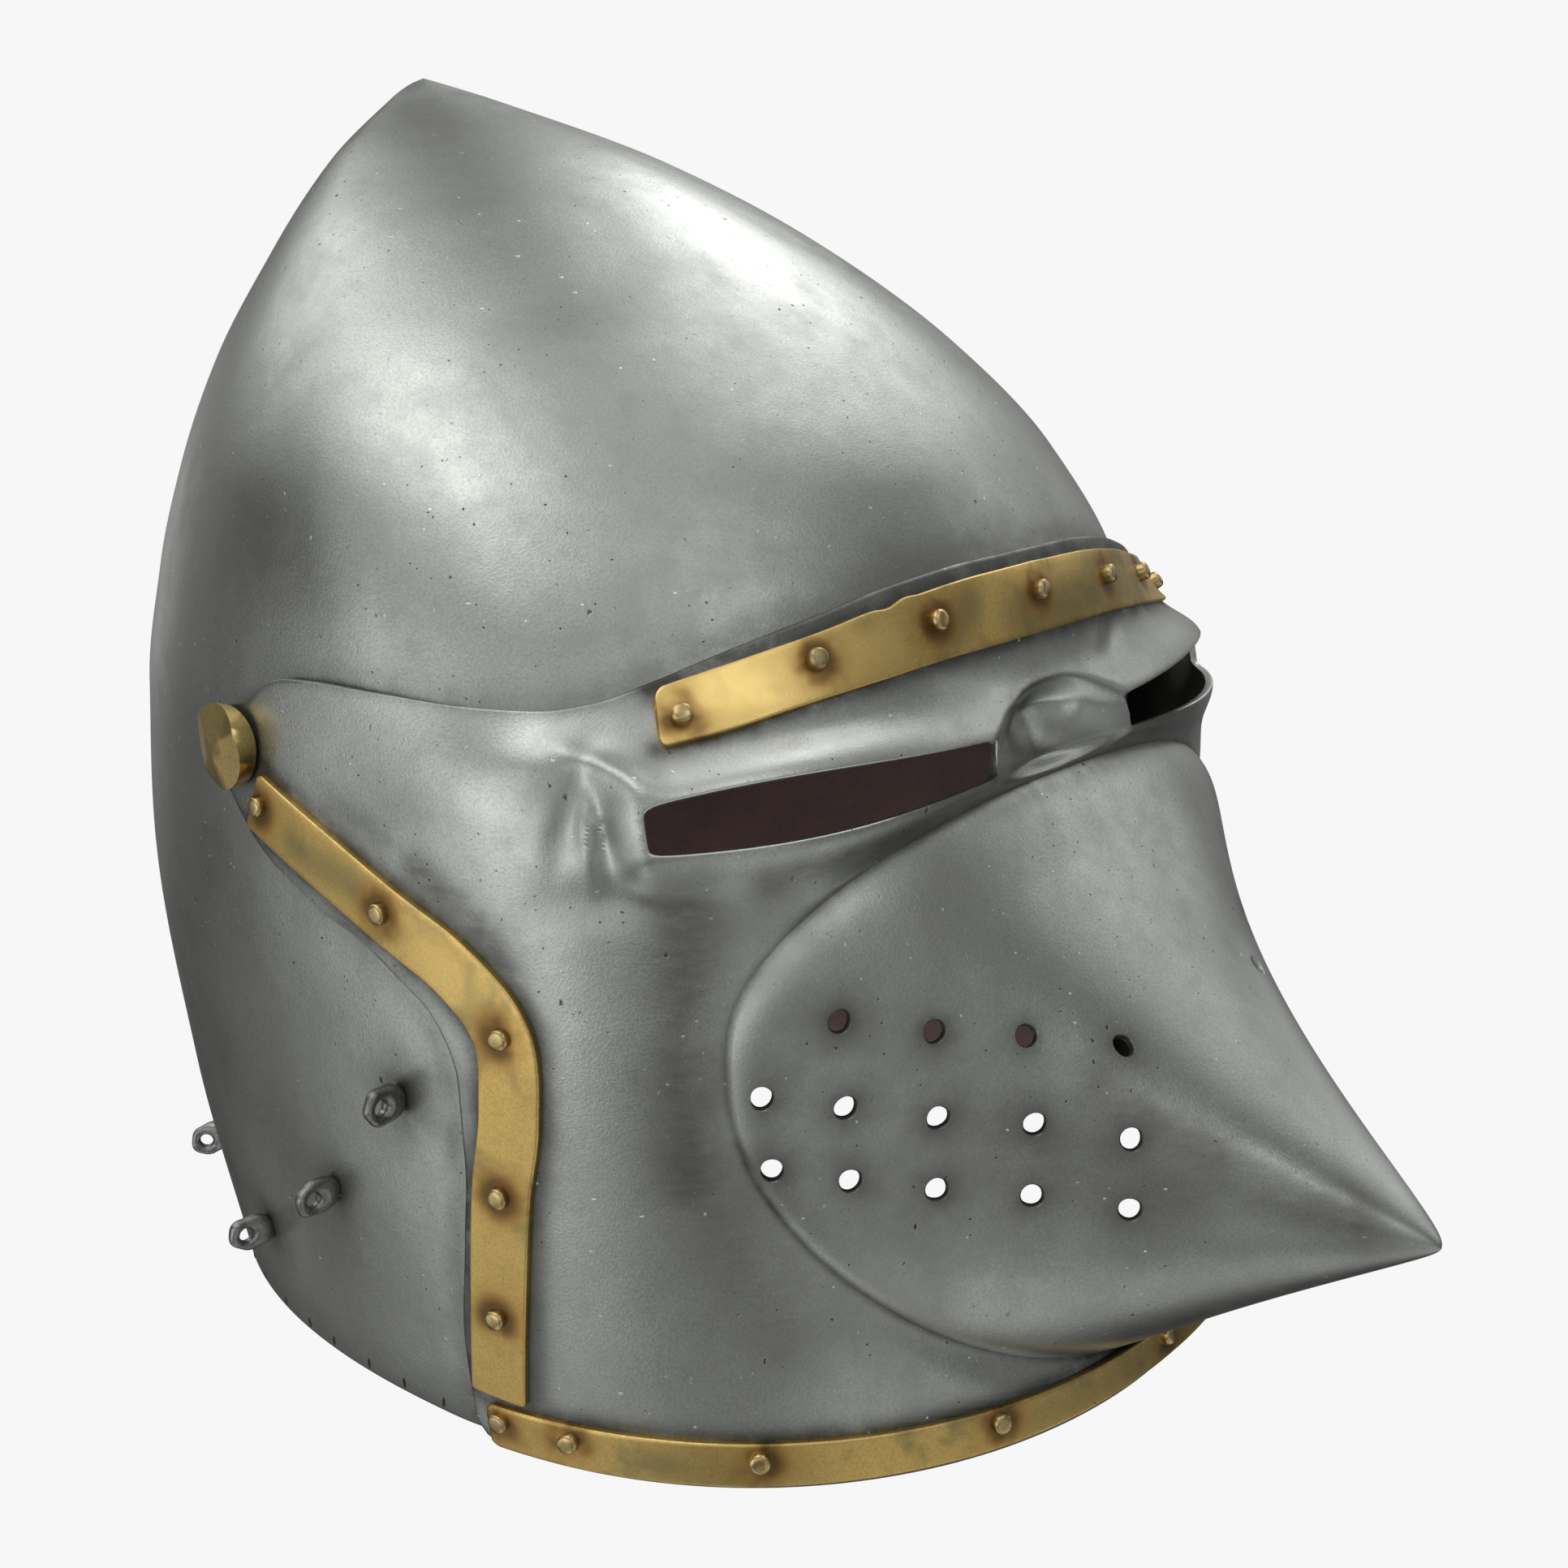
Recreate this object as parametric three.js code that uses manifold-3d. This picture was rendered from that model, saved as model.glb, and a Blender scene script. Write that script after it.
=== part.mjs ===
// A hounskull bascinet: a pointed steel skull with a twill lining, and a snouted steel visor that
// lifts on two side pivots. Millimetres; the wearer faces -Y, their right is -X, and the hem is on Z = 0.
import * as THREE from "three";
import { mergeVertices } from "three/addons/utils/BufferGeometryUtils.js";
import Module from "manifold-3d";

const wasm = await Module();
wasm.setup();

// Driving dimensions.
const SKULL_WALL = 1.8;
const VISOR_WALL = 1.7;
const LINING_WALL = 2.2;
const VISOR_CLEARANCE = 1.2;
const CONTACT_GAP = 0.3;
const PIVOT = { back: 50, height: 134.5 };
const PIVOT_SHANK_RADIUS = 3;
const PIVOT_HOLE_RADIUS = 3.35;
const BOLT_HEAD = { radius: 8.3, rim: 3.2, thickness: 5.4 };
const BAND_THICKNESS = 1.2;
const CHEEK_BAND_WIDTH = 12.6;
const HEM_BAND = { bottom: 1.1, end: 82.5 };
const RIVET = { radius: 2.3, top: 1.9 };
const BREATH_RADIUS = 2.1;
const LOOP = { eye: 1.5, radius: 3.7, foot: 2.1, thickness: 2.6, standOff: 5.4 };
const SLIT = { inner: 5.3, outer: 51.2, lip: 4.2, reach: 8 };
const LINING_HEM = 2;

// Level sections of the skull: its front and back on the midline, half its width, where it is widest,
// and the powers of the two superellipses that make its front and back halves.
const SKULL = [
  { z: 0, front: -64, back: 138, half: 108.4, centre: 5, frontPower: 2.3, backPower: 2.25 },
  { z: 45, front: -64, back: 152, half: 111, centre: 12, frontPower: 2.5, backPower: 2.28 },
  { z: 95, front: -64, back: 157, half: 113, centre: 21, frontPower: 2.6, backPower: 2.3 },
  { z: 135, front: -63, back: 154.5, half: 113, centre: 26, frontPower: 2.45, backPower: 2.22 },
  { z: 160, front: -58.5, back: 152, half: 110, centre: 30, frontPower: 2.05, backPower: 2.1 },
  { z: 182, front: -46.5, back: 145.5, half: 104, centre: 37, frontPower: 1.88, backPower: 2.03 },
  { z: 205, front: -22.5, back: 137.5, half: 91, centre: 50, frontPower: 1.82, backPower: 1.95 },
  { z: 228, front: 10.5, back: 126, half: 69, centre: 70, frontPower: 1.75, backPower: 1.85 },
  { z: 246, front: 47.5, back: 118, half: 43, centre: 90, frontPower: 1.72, backPower: 1.8 },
  { z: 258.5, front: 87.5, back: 113, half: 17.5, centre: 104, frontPower: 1.75, backPower: 1.85 },
  { z: 263.6, front: 106, back: 112.6, half: 4.5, centre: 110, frontPower: 2, backPower: 2 },
  { z: 265, front: 111, back: 111, half: 0, centre: 111, frontPower: 2, backPower: 2 },
];

// The visor's own front half: behind its widest line it follows the skull at a clearance.
const VISOR = [
  { z: 0, front: -100, half: 111.6, power: 2.2 },
  { z: 25, front: -95, half: 113.2, power: 2.3 },
  { z: 60, front: -87, half: 115.1, power: 2.5 },
  { z: 95, front: -77.5, half: 116, power: 2.9 },
  { z: 130, front: -67.3, half: 116.2, power: 3.2 },
  { z: 150, front: -63.8, half: 114.8, power: 2.3 },
  { z: 161, front: -61.6, half: 113, power: 2.05 },
  { z: 172, front: -57.4, half: 110.5, power: 1.98 },
];

// The visor's outline from the brow round the ear to the hem, as an angle from the front and a height,
// with the place on the snout's seam that each point is drawn from.
const OUTLINE = [
  { angle: 0, height: 169.3, seam: 0 },
  { angle: 9, height: 169, seam: 6 },
  { angle: 20.3, height: 166.8, seam: 14 },
  { angle: 30.3, height: 162.7, seam: 21 },
  { angle: 39.5, height: 158.4, seam: 28 },
  { angle: 48.2, height: 153.7, seam: 34.2 },
  { angle: 54.8, height: 150.6, seam: 39.5 },
  { angle: 62, height: 149.2, seam: 44.5 },
  { angle: 71, height: 149.4, seam: 50 },
  { angle: 79.5, height: 150.1, seam: 55 },
  { angle: 87.3, height: 150.3, seam: 60 },
  { angle: 92.5, height: 149.5, seam: 64 },
  { angle: 95.4, height: 147, seam: 67 },
  { angle: 97.2, height: 143.4, seam: 70 },
  { angle: 100.2, height: 141.6, seam: 72.5 },
  { angle: 102.2, height: 137.5, seam: 75 },
  { angle: 102.2, height: 131.5, seam: 78 },
  { angle: 100, height: 124, seam: 81.5 },
  { angle: 96.6, height: 114.6, seam: 85.5 },
  { angle: 92, height: 107, seam: 89 },
  { angle: 86.5, height: 97, seam: 93.5 },
  { angle: 82.4, height: 89.4, seam: 98 },
  { angle: 80.4, height: 78, seam: 103.5 },
  { angle: 80.6, height: 62, seam: 110 },
  { angle: 82.2, height: 44, seam: 117 },
  { angle: 84.4, height: 20, seam: 124 },
  { angle: 84.6, height: 5, seam: 127 },
  { angle: 83.2, height: 1.3, seam: 129 },
  { angle: 80, height: 0, seam: 132 },
  { angle: 66, height: 0, seam: 139 },
  { angle: 48, height: 0, seam: 149 },
  { angle: 24, height: 0, seam: 164 },
  { angle: 0, height: 0, seam: 180 },
];

// The seam where the snout leaves the visor's plate, an oval, and the snout's blunt tip.
const SEAM = { height: 83, half: 92.5, rise: 41, drop: 75, upperPower: 2.57, lowerPower: 2 };
const TIP = { front: -157, height: 44, blunt: 0.035 };
const SNOUT_HOLLOW = { top: 0.1, side: 0.1, bottom: 0.02 };
const SNOUT_ROWS = [0, 0.013, 0.045, 0.15, 0.36, 0.6, 0.83, 1];
const PLATE_ROWS = [0.14, 0.3, 0.52, 0.76, 1];

// Breaths on each side of the snout: where each lies round it (0 top, 180 bottom) and along it
// (0 tip, 1 seam).
const BREATHS = [
  { round: 69.7, along: 0.902 },
  { round: 61.8, along: 0.803 },
  { round: 49.4, along: 0.712 },
  { round: 33.6, along: 0.609 },
  { round: 91.1, along: 0.965 },
  { round: 89.8, along: 0.87 },
  { round: 87.8, along: 0.755 },
  { round: 80.6, along: 0.63 },
  { round: 71.8, along: 0.503 },
  { round: 103.1, along: 0.975 },
  { round: 103.7, along: 0.885 },
  { round: 104.6, along: 0.777 },
  { round: 104.3, along: 0.645 },
  { round: 105.5, along: 0.505 },
];

// The brow band's middle line and half its height, from the front round to its end.
const BROW_BAND = [
  { angle: 0, height: 159.6, half: 6.9 },
  { angle: 10, height: 159, half: 6.85 },
  { angle: 22.7, height: 156.3, half: 6.5 },
  { angle: 30.8, height: 153.5, half: 5.9 },
  { angle: 39.6, height: 150.3, half: 5.5 },
  { angle: 44, height: 148.8, half: 5.15 },
  { angle: 48, height: 147.4, half: 4.75 },
];

// Rivet places, as an angle from the front and a height, and how far each head stands proud.
const BROW_RIVETS = [
  { angle: 0, height: 160.8 },
  { angle: 15.8, height: 159.2 },
  { angle: 30.2, height: 154.8 },
  { angle: 45.2, height: 147.4 },
];
const CHEEK_LINE = [
  { angle: 96.3, height: 124.6 },
  { angle: 86.5, height: 108.8 },
  { angle: 79, height: 100.4 },
  { angle: 74, height: 89.4 },
  { angle: 74.2, height: 73 },
  { angle: 76.3, height: 56.8 },
  { angle: 79, height: 30.4 },
  { angle: 80.6, height: 12.4 },
];
const CHEEK_RIVETS = [0.1, 1, 3, 5, 6];
const HEM_RIVETS = [
  { angle: 0, height: 5.6 },
  { angle: 24.6, height: 6.4 },
  { angle: 51.8, height: 6.7 },
  { angle: 72.6, height: 6.9 },
  { angle: 80.8, height: 7 },
];
const BROW_RIVET_HEIGHT = 2.4;
const EDGE_RIVET_HEIGHT = 1.6;

// Neck loops: how far back each stands and its height, on both sides.
const LOOPS = [
  { back: 9.8, height: 69.3 },
  { back: 33.5, height: 42 },
  { back: 64.7, height: 21.5 },
  { back: 116.6, height: 18 },
];

// The face opening seen from the side: its edges run up behind the visor's cheeks to an arch at the brow.
const FACE_OPENING = { back: -30, shoulder: 112, archBack: -62, top: 157, reach: -140 };

const COLOURS = {
  steel: new THREE.MeshStandardMaterial({ color: 0x8d908c, roughness: 0.38, metalness: 1 }),
  darkSteel: new THREE.MeshStandardMaterial({ color: 0x6f716e, roughness: 0.42, metalness: 1 }),
  brass: new THREE.MeshStandardMaterial({ color: 0xb3914b, roughness: 0.36, metalness: 1 }),
  lining: new THREE.MeshStandardMaterial({ color: 0x3b2a29, roughness: 0.95, metalness: 0 }),
};

// A smooth curve through one column of a table that never overshoots its rows (monotone cubic).
function column(table, key, place = "z") {
  const x = table.map((row) => row[place]);
  const y = table.map((row) => row[key]);
  const n = x.length;
  const step = x.slice(1).map((v, i) => v - x[i]);
  const rise = step.map((h, i) => (y[i + 1] - y[i]) / h);
  const slope = new Array(n).fill(0);
  for (let i = 1; i < n - 1; i++) {
    if (rise[i - 1] * rise[i] > 0) {
      const a = 2 * step[i] + step[i - 1];
      const b = step[i] + 2 * step[i - 1];
      slope[i] = (a + b) / (a / rise[i - 1] + b / rise[i]);
    }
  }
  slope[0] = rise[0];
  slope[n - 1] = rise[n - 2];
  return (at) => {
    const v = Math.min(Math.max(at, x[0]), x[n - 1]);
    let i = 0;
    while (i < n - 2 && v > x[i + 1]) i++;
    const h = step[i];
    const s = (v - x[i]) / h;
    return (
      y[i] * (1 + 2 * s) * (1 - s) ** 2 +
      h * slope[i] * s * (1 - s) ** 2 +
      y[i + 1] * s * s * (3 - 2 * s) +
      h * slope[i + 1] * s * s * (s - 1)
    );
  };
}

const skull = {};
for (const key of ["front", "back", "half", "centre", "frontPower", "backPower"]) {
  skull[key] = column(SKULL, key);
}
const visor = {};
for (const key of ["front", "half", "power"]) {
  visor[key] = column(VISOR, key);
}

const radians = THREE.MathUtils.degToRad;
const signedPower = (v, p) => Math.sign(v) * Math.abs(v) ** p;

// A point of a level section whose angle t runs from the front (0) round to the back (PI).
function sectionPoint(t, z, { front, back, half, centre, frontPower, backPower }) {
  const c = Math.cos(t);
  const power = 2 / (c > 0 ? frontPower : backPower);
  const depth = c > 0 ? centre - front : back - centre;
  const x = half * signedPower(Math.sin(t), power);
  return new THREE.Vector3(x, centre - depth * signedPower(c, power), z);
}

function skullPoint(t, z) {
  const row = {};
  for (const key of Object.keys(skull)) row[key] = skull[key](z);
  return sectionPoint(t, z, row);
}

// The slit's middle height and half its opening at an angle from the front, in degrees.
const slitHeight = (angle) => 131.5 - 1.8 * (angle / SLIT.outer) ** 4;
const slitShare = (angle) => (angle - SLIT.inner) / (SLIT.outer - SLIT.inner);
const slitHalf = (angle) => 3.7 + 1.3 * Math.sin(Math.PI * slitShare(angle));

// How far the plate is raised into the lips round the eye slits.
function lipRise(t, z) {
  const angle = Math.abs(THREE.MathUtils.radToDeg(t));
  const along = Math.min(Math.max(angle, SLIT.inner), SLIT.outer);
  const beyond = Math.abs(angle - along) * 1.6;
  const above = Math.max(Math.abs(z - slitHeight(along)) - slitHalf(along), 0);
  const away = Math.hypot(beyond, above) / SLIT.reach;
  return SLIT.lip * Math.exp(-away * away * 1.6);
}

// A point of the visor's plate before its lips are raised.
function platePoint(t, z) {
  const clearance = VISOR_CLEARANCE + VISOR_WALL;
  return sectionPoint(t, z, {
    front: visor.front(z),
    back: skull.back(z) + clearance,
    half: visor.half(z),
    centre: skull.centre(z),
    frontPower: visor.power(z),
    backPower: skull.backPower(z),
  });
}

// The outward direction of a surface given as a function of angle and height.
function outward(surface, t, z) {
  const d = 1e-3;
  const across = surface(t + d, z).sub(surface(t - d, z));
  const up = surface(t, z + 1).sub(surface(t, z - 1));
  return across.cross(up).normalize();
}

function raisedPoint(t, z, lift = 0) {
  const rise = lipRise(t, z) + lift;
  return platePoint(t, z).addScaledVector(outward(platePoint, t, z), rise);
}

// The angle round the plate at which it is x wide at height z, for its front half.
function angleAcross(x, z) {
  const share = Math.min(Math.abs(x) / visor.half(z), 1);
  return Math.sign(x) * Math.asin(share ** (visor.power(z) / 2));
}

// A closed mesh from a grid of points that wraps round, with a pole or a fan at each end.
function closedGrid(rows, first, last) {
  const points = [first, ...rows.flat(), last];
  const n = rows[0].length;
  const index = [];
  const at = (r, k) => 1 + r * n + (k % n);
  for (let k = 0; k < n; k++) {
    index.push(0, at(0, k + 1), at(0, k));
    index.push(points.length - 1, at(rows.length - 1, k), at(rows.length - 1, k + 1));
    for (let r = 0; r < rows.length - 1; r++) {
      index.push(at(r, k), at(r, k + 1), at(r + 1, k));
      index.push(at(r, k + 1), at(r + 1, k + 1), at(r + 1, k));
    }
  }
  return meshOf(points, index);
}

// A closed strip between an outer and an inner grid of points, with walls all round.
function slab(outer, inner) {
  const rows = outer.length;
  const n = outer[0].length;
  const points = [...outer.flat(), ...inner.flat()];
  const out = (r, k) => r * n + k;
  const inn = (r, k) => rows * n + r * n + k;
  const index = [];
  const quad = (a, b, c, d) => index.push(a, b, c, a, c, d);
  for (let r = 0; r < rows - 1; r++) {
    for (let k = 0; k < n - 1; k++) {
      quad(out(r, k), out(r, k + 1), out(r + 1, k + 1), out(r + 1, k));
      quad(inn(r, k), inn(r + 1, k), inn(r + 1, k + 1), inn(r, k + 1));
    }
    quad(out(r, 0), out(r + 1, 0), inn(r + 1, 0), inn(r, 0));
    quad(out(r, n - 1), inn(r, n - 1), inn(r + 1, n - 1), out(r + 1, n - 1));
  }
  for (let k = 0; k < n - 1; k++) {
    quad(out(0, k), inn(0, k), inn(0, k + 1), out(0, k + 1));
    quad(out(rows - 1, k), out(rows - 1, k + 1), inn(rows - 1, k + 1), inn(rows - 1, k));
  }
  return meshOf(points, index);
}

function meshOf(points, index) {
  const geometry = new THREE.BufferGeometry();
  const places = points.flatMap((p) => p.toArray());
  geometry.setAttribute("position", new THREE.Float32BufferAttribute(places, 3));
  geometry.setIndex(index);
  return geometry;
}

// A manifold solid from a closed geometry, turned the right way out.
function solid(geometry) {
  const bare = geometry.clone();
  bare.deleteAttribute("normal");
  bare.deleteAttribute("uv");
  const merged = mergeVertices(bare, 1e-4);
  const vertProperties = merged.attributes.position.array;
  const triVerts = new Uint32Array(merged.index.array);
  const made = new wasm.Manifold(new wasm.Mesh({ numProp: 3, vertProperties, triVerts }));
  if (made.volume() > 0) return made;
  for (let i = 0; i < triVerts.length; i += 3) {
    [triVerts[i + 1], triVerts[i + 2]] = [triVerts[i + 2], triVerts[i + 1]];
  }
  return new wasm.Manifold(new wasm.Mesh({ numProp: 3, vertProperties, triVerts }));
}

function geometryOf(made) {
  const { vertProperties, triVerts } = made.getMesh();
  const geometry = new THREE.BufferGeometry();
  geometry.setAttribute("position", new THREE.BufferAttribute(vertProperties, 3));
  geometry.setIndex(new THREE.BufferAttribute(triVerts, 1));
  return geometry;
}

const helmet = new THREE.Group();

function addPiece(name, made, material) {
  const piece = new THREE.Mesh(made.isBufferGeometry ? made : geometryOf(made), material);
  piece.name = name;
  helmet.add(piece);
  return piece;
}

// The skull's form drawn in by an inset, closed below at a floor height and above at its own point.
function skullForm(inset, floor, heights, columns) {
  const at = (t, z) => skullPoint(t, z).addScaledVector(outward(skullPoint, t, z), -inset);
  const angles = Array.from({ length: columns }, (_, k) => (2 * Math.PI * k) / columns);
  const rows = heights.map((z) => angles.map((t) => at(t, z)));
  rows[0].forEach((p) => p.setZ(floor));
  const top = heights[heights.length - 1];
  const apex = inset ? new THREE.Vector3(0, skull.centre(top), top + 2) : skullPoint(0, 265);
  return solid(closedGrid(rows, new THREE.Vector3(0, skull.centre(0), floor), apex));
}

// The face opening as a bar through both sides of the skull, grown all round by a margin.
function faceOpening(margin = 0) {
  const { back, shoulder, archBack, top, reach } = FACE_OPENING;
  const side = new THREE.Shape();
  side.moveTo(reach, -5);
  side.lineTo(back + margin, -5);
  side.lineTo(back + margin, shoulder);
  side.bezierCurveTo(back + margin, shoulder + 28, archBack + 18, top + margin, archBack, top + margin);
  side.lineTo(reach, top + margin);
  side.closePath();
  const bar = new THREE.ExtrudeGeometry(side, { depth: 260, bevelEnabled: false, curveSegments: 8 });
  // Shape x, y and depth become the frame's Y, Z and X.
  bar.applyMatrix4(new THREE.Matrix4().makeBasis(
    new THREE.Vector3(0, 1, 0), new THREE.Vector3(0, 0, 1), new THREE.Vector3(1, 0, 0)));
  return solid(bar.translate(-130, 0, 0));
}

function pivotHole(radius) {
  const bar = new THREE.CylinderGeometry(radius, radius, 260, 16).rotateZ(Math.PI / 2);
  return solid(bar.translate(0, PIVOT.back, PIVOT.height));
}

const SKULL_HEIGHTS = [0, 30, 62, 97, 128, 150, 168, 186, 203, 220, 234, 246, 255, 261];
const shell = skullForm(0, 0, [...SKULL_HEIGHTS, 263.8], 40)
  .subtract(skullForm(SKULL_WALL, -1, SKULL_HEIGHTS.slice(0, 13), 40))
  .subtract(faceOpening())
  .subtract(pivotHole(PIVOT_HOLE_RADIUS));
addPiece("skull", shell, COLOURS.steel);

const LINING_HEIGHTS = [0, 62, 128, 168, 203, 234];
const LINING_HOLLOW = [0, 62, 128, 168, 203, 218, 229];
const liningOuter = SKULL_WALL + CONTACT_GAP + 0.35;
const below = new THREE.BoxGeometry(300, 400, 20).translate(0, 0, LINING_HEM - 10);
const lining = skullForm(liningOuter, -2, LINING_HEIGHTS, 40)
  .subtract(skullForm(liningOuter + LINING_WALL, -3, LINING_HOLLOW, 40))
  .subtract(faceOpening(3))
  .subtract(solid(below));
addPiece("lining", lining, COLOURS.lining);

// A place on the snout's seam, from its top (0) down one side to its foot (180), as an angle and a height.
function seamPlace(degrees, side) {
  const c = Math.cos(radians(degrees));
  const power = 2 / (c > 0 ? SEAM.upperPower : SEAM.lowerPower);
  const x = SEAM.half * Math.abs(Math.sin(radians(degrees))) ** power;
  const z = SEAM.height + (c > 0 ? SEAM.rise : SEAM.drop) * signedPower(c, power);
  return { t: side * angleAcross(x, z), z };
}

// A point of the snout: 0 along is its tip and 1 is the seam, and its sides draw in on the way out.
function snoutPoint(degrees, side, along) {
  const foot = seamPlace(degrees, side);
  const base = raisedPoint(foot.t, foot.z);
  const c = Math.cos(radians(degrees));
  const { top, side: flank, bottom } = SNOUT_HOLLOW;
  const hollow = flank + ((c > 0 ? top : bottom) - flank) * c * c;
  const spread = along * (1 - 2 * hollow * (1 - along) * (1 + 2 * along));
  const b = TIP.blunt;
  const back = (Math.hypot(along, b) - b) / (Math.hypot(1, b) - b);
  return new THREE.Vector3(
    base.x * spread,
    TIP.front + (base.y - TIP.front) * back,
    TIP.height + (base.z - TIP.height) * spread,
  );
}

// One column of the visor from the snout's tip out to the outline.
function visorColumn(row, side) {
  const points = SNOUT_ROWS.slice(1).map((along) => snoutPoint(row.seam, side, along));
  const foot = seamPlace(row.seam, side);
  const edge = side * radians(row.angle);
  for (const share of PLATE_ROWS) {
    points.push(raisedPoint(foot.t + (edge - foot.t) * share, foot.z + (row.height - foot.z) * share));
  }
  return points;
}

const nearColumns = OUTLINE.map((row) => visorColumn(row, 1));
const farColumns = OUTLINE.slice(1, -1).reverse().map((row) => visorColumn(row, -1));
const columns = [...nearColumns, ...farColumns];
const rowsOut = columns[0].map((_, r) => columns.map((points) => points[r]));
const tipPoint = new THREE.Vector3(0, TIP.front, TIP.height);

// The inner face: each point moves in along the mean direction of its grid neighbours.
function insetRows(rows, pole, depth) {
  const n = rows[0].length;
  return rows.map((row, r) => row.map((p, k) => {
    const nextRow = rows[Math.min(r + 1, rows.length - 1)];
    const around = row[(k + 1) % n].clone().sub(row[(k + n - 1) % n]);
    const along = nextRow[k].clone().sub(r ? rows[r - 1][k] : pole);
    return p.clone().addScaledVector(along.cross(around).normalize(), depth);
  }));
}

const rowsIn = insetRows(rowsOut, tipPoint, VISOR_WALL).slice(2).reverse();
for (const p of rowsIn.flat()) p.setZ(Math.max(p.z, 0));
const innerPole = new THREE.Vector3(0, TIP.front + 5.5, TIP.height);
let visorShell = solid(closedGrid([...rowsOut, ...rowsIn], tipPoint, innerPole));
const rowsOver = insetRows(rowsOut, tipPoint, -CONTACT_GAP);
const visorCover = solid(closedGrid([...rowsOver, ...rowsIn], tipPoint, innerPole));
const eyeSlits = [1, -1].map((side) => {
  const steps = 8;
  const grid = (lift) => [-1, 1].map((edge) => Array.from({ length: steps + 1 }, (_, k) => {
    const angle = SLIT.inner + ((SLIT.outer - SLIT.inner) * k) / steps;
    const z = slitHeight(angle) + edge * slitHalf(angle);
    return raisedPoint(side * radians(angle), z, lift);
  }));
  return solid(slab(grid(6), grid(-9)));
});
const breaths = [1, -1].flatMap((side) => BREATHS.map(({ round, along }) => {
  const centre = snoutPoint(round, side, along);
  const ahead = snoutPoint(round, side, along - 0.01).sub(centre);
  const aside = snoutPoint(round + 1, side, along).sub(centre);
  const normal = ahead.cross(aside).normalize();
  const drill = new THREE.CylinderGeometry(BREATH_RADIUS, BREATH_RADIUS, 12, 6);
  drill.applyQuaternion(new THREE.Quaternion().setFromUnitVectors(new THREE.Vector3(0, 1, 0), normal));
  return solid(drill.translate(...centre.toArray()));
}));
for (const cut of [...eyeSlits, ...breaths, pivotHole(PIVOT_HOLE_RADIUS)]) {
  visorShell = visorShell.subtract(cut);
}
addPiece("visor", visorShell, COLOURS.steel);

// A brass band between two edges that are given, step by step, as an angle and a height. Its underside
// is trimmed to stand a gap clear of the plate.
function band(lower, upper) {
  const across = [0, 0.5, 1];
  const grid = (lift) => across.map((share) => lower.map((low, k) => raisedPoint(
    low.t + (upper[k].t - low.t) * share, low.z + (upper[k].z - low.z) * share, lift)));
  const trimmed = solid(slab(grid(CONTACT_GAP + BAND_THICKNESS), grid(-0.8))).subtract(visorCover);
  return trimmed.decompose().sort((a, b) => b.volume() - a.volume())[0];
}

const browHeight = column(BROW_BAND, "height", "angle");
const browHalf = column(BROW_BAND, "half", "angle");
const hemTop = (angle) => 8 + 2.4 * Math.sin(radians(Math.min(angle * 1.4, 90)));
const evenly = (from, to, count) => (
  Array.from({ length: count + 1 }, (_, k) => from + ((to - from) * k) / count));

const browEnd = BROW_BAND[BROW_BAND.length - 1].angle;
const browAngles = evenly(-browEnd, browEnd, 24);
const browEdge = (edge) => browAngles.map((angle) => (
  { t: radians(angle), z: browHeight(Math.abs(angle)) + edge * browHalf(Math.abs(angle)) }));
addPiece("brow_band", band(browEdge(-1), browEdge(1)), COLOURS.brass);

const hemAngles = evenly(-HEM_BAND.end, HEM_BAND.end, 30);
const hemEdge = (height) => hemAngles.map((angle) => ({ t: radians(angle), z: height(Math.abs(angle)) }));
addPiece("hem_band", band(hemEdge(() => HEM_BAND.bottom), hemEdge(hemTop)), COLOURS.brass);

// The cheek band follows its centre line; its edges stand half a width to either side on the plate.
const cheekPoints = CHEEK_LINE.map(({ angle, height }) => new THREE.Vector2(angle, height));
const cheekCurve = new THREE.SplineCurve(cheekPoints);
const perDegree = (t, z) => raisedPoint(t + radians(0.5), z).distanceTo(raisedPoint(t - radians(0.5), z));

function cheekPlace(share, side, offset) {
  const here = cheekCurve.getPoint(share);
  const t = side * radians(here.x);
  const scale = perDegree(t, here.y);
  const heading = cheekCurve.getTangent(share);
  const turned = new THREE.Vector2(heading.y, -heading.x * scale).normalize();
  return { t: side * radians(here.x + (offset * turned.x) / scale), z: here.y + offset * turned.y };
}

const SIDES = [{ side: -1, word: "right" }, { side: 1, word: "left" }];
for (const { side, word } of SIDES) {
  const shares = evenly(0, 1, 20);
  const edge = (offset) => shares.map((share) => cheekPlace(share, side, offset));
  const made = band(edge(-CHEEK_BAND_WIDTH / 2), edge(CHEEK_BAND_WIDTH / 2));
  addPiece("cheek_band_" + word, made, COLOURS.brass);
}

// A rivet's head standing on a band.
function addRivet(name, t, z, height) {
  const { radius, top } = RIVET;
  const profile = [[0, 0], [radius, 0], [radius, height * 0.6], [top, height], [0, height]];
  const head = new THREE.LatheGeometry(profile.map(([x, y]) => new THREE.Vector2(x, y)), 8);
  const normal = outward(raisedPoint, t, z);
  head.applyQuaternion(new THREE.Quaternion().setFromUnitVectors(new THREE.Vector3(0, 1, 0), normal));
  const foot = raisedPoint(t, z, 2 * CONTACT_GAP + BAND_THICKNESS);
  addPiece(name, solid(head.translate(...foot.toArray())), COLOURS.brass);
}

function addRivetRow(name, places, height) {
  const near = places.slice(1).reverse().map(({ angle, height: z }) => ({ angle: -angle, z }));
  const full = [...near, ...places.map(({ angle, height: z }) => ({ angle, z }))];
  full.forEach(({ angle, z }, k) => addRivet(`${name}_${k + 1}`, radians(angle), z, height));
}

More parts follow.
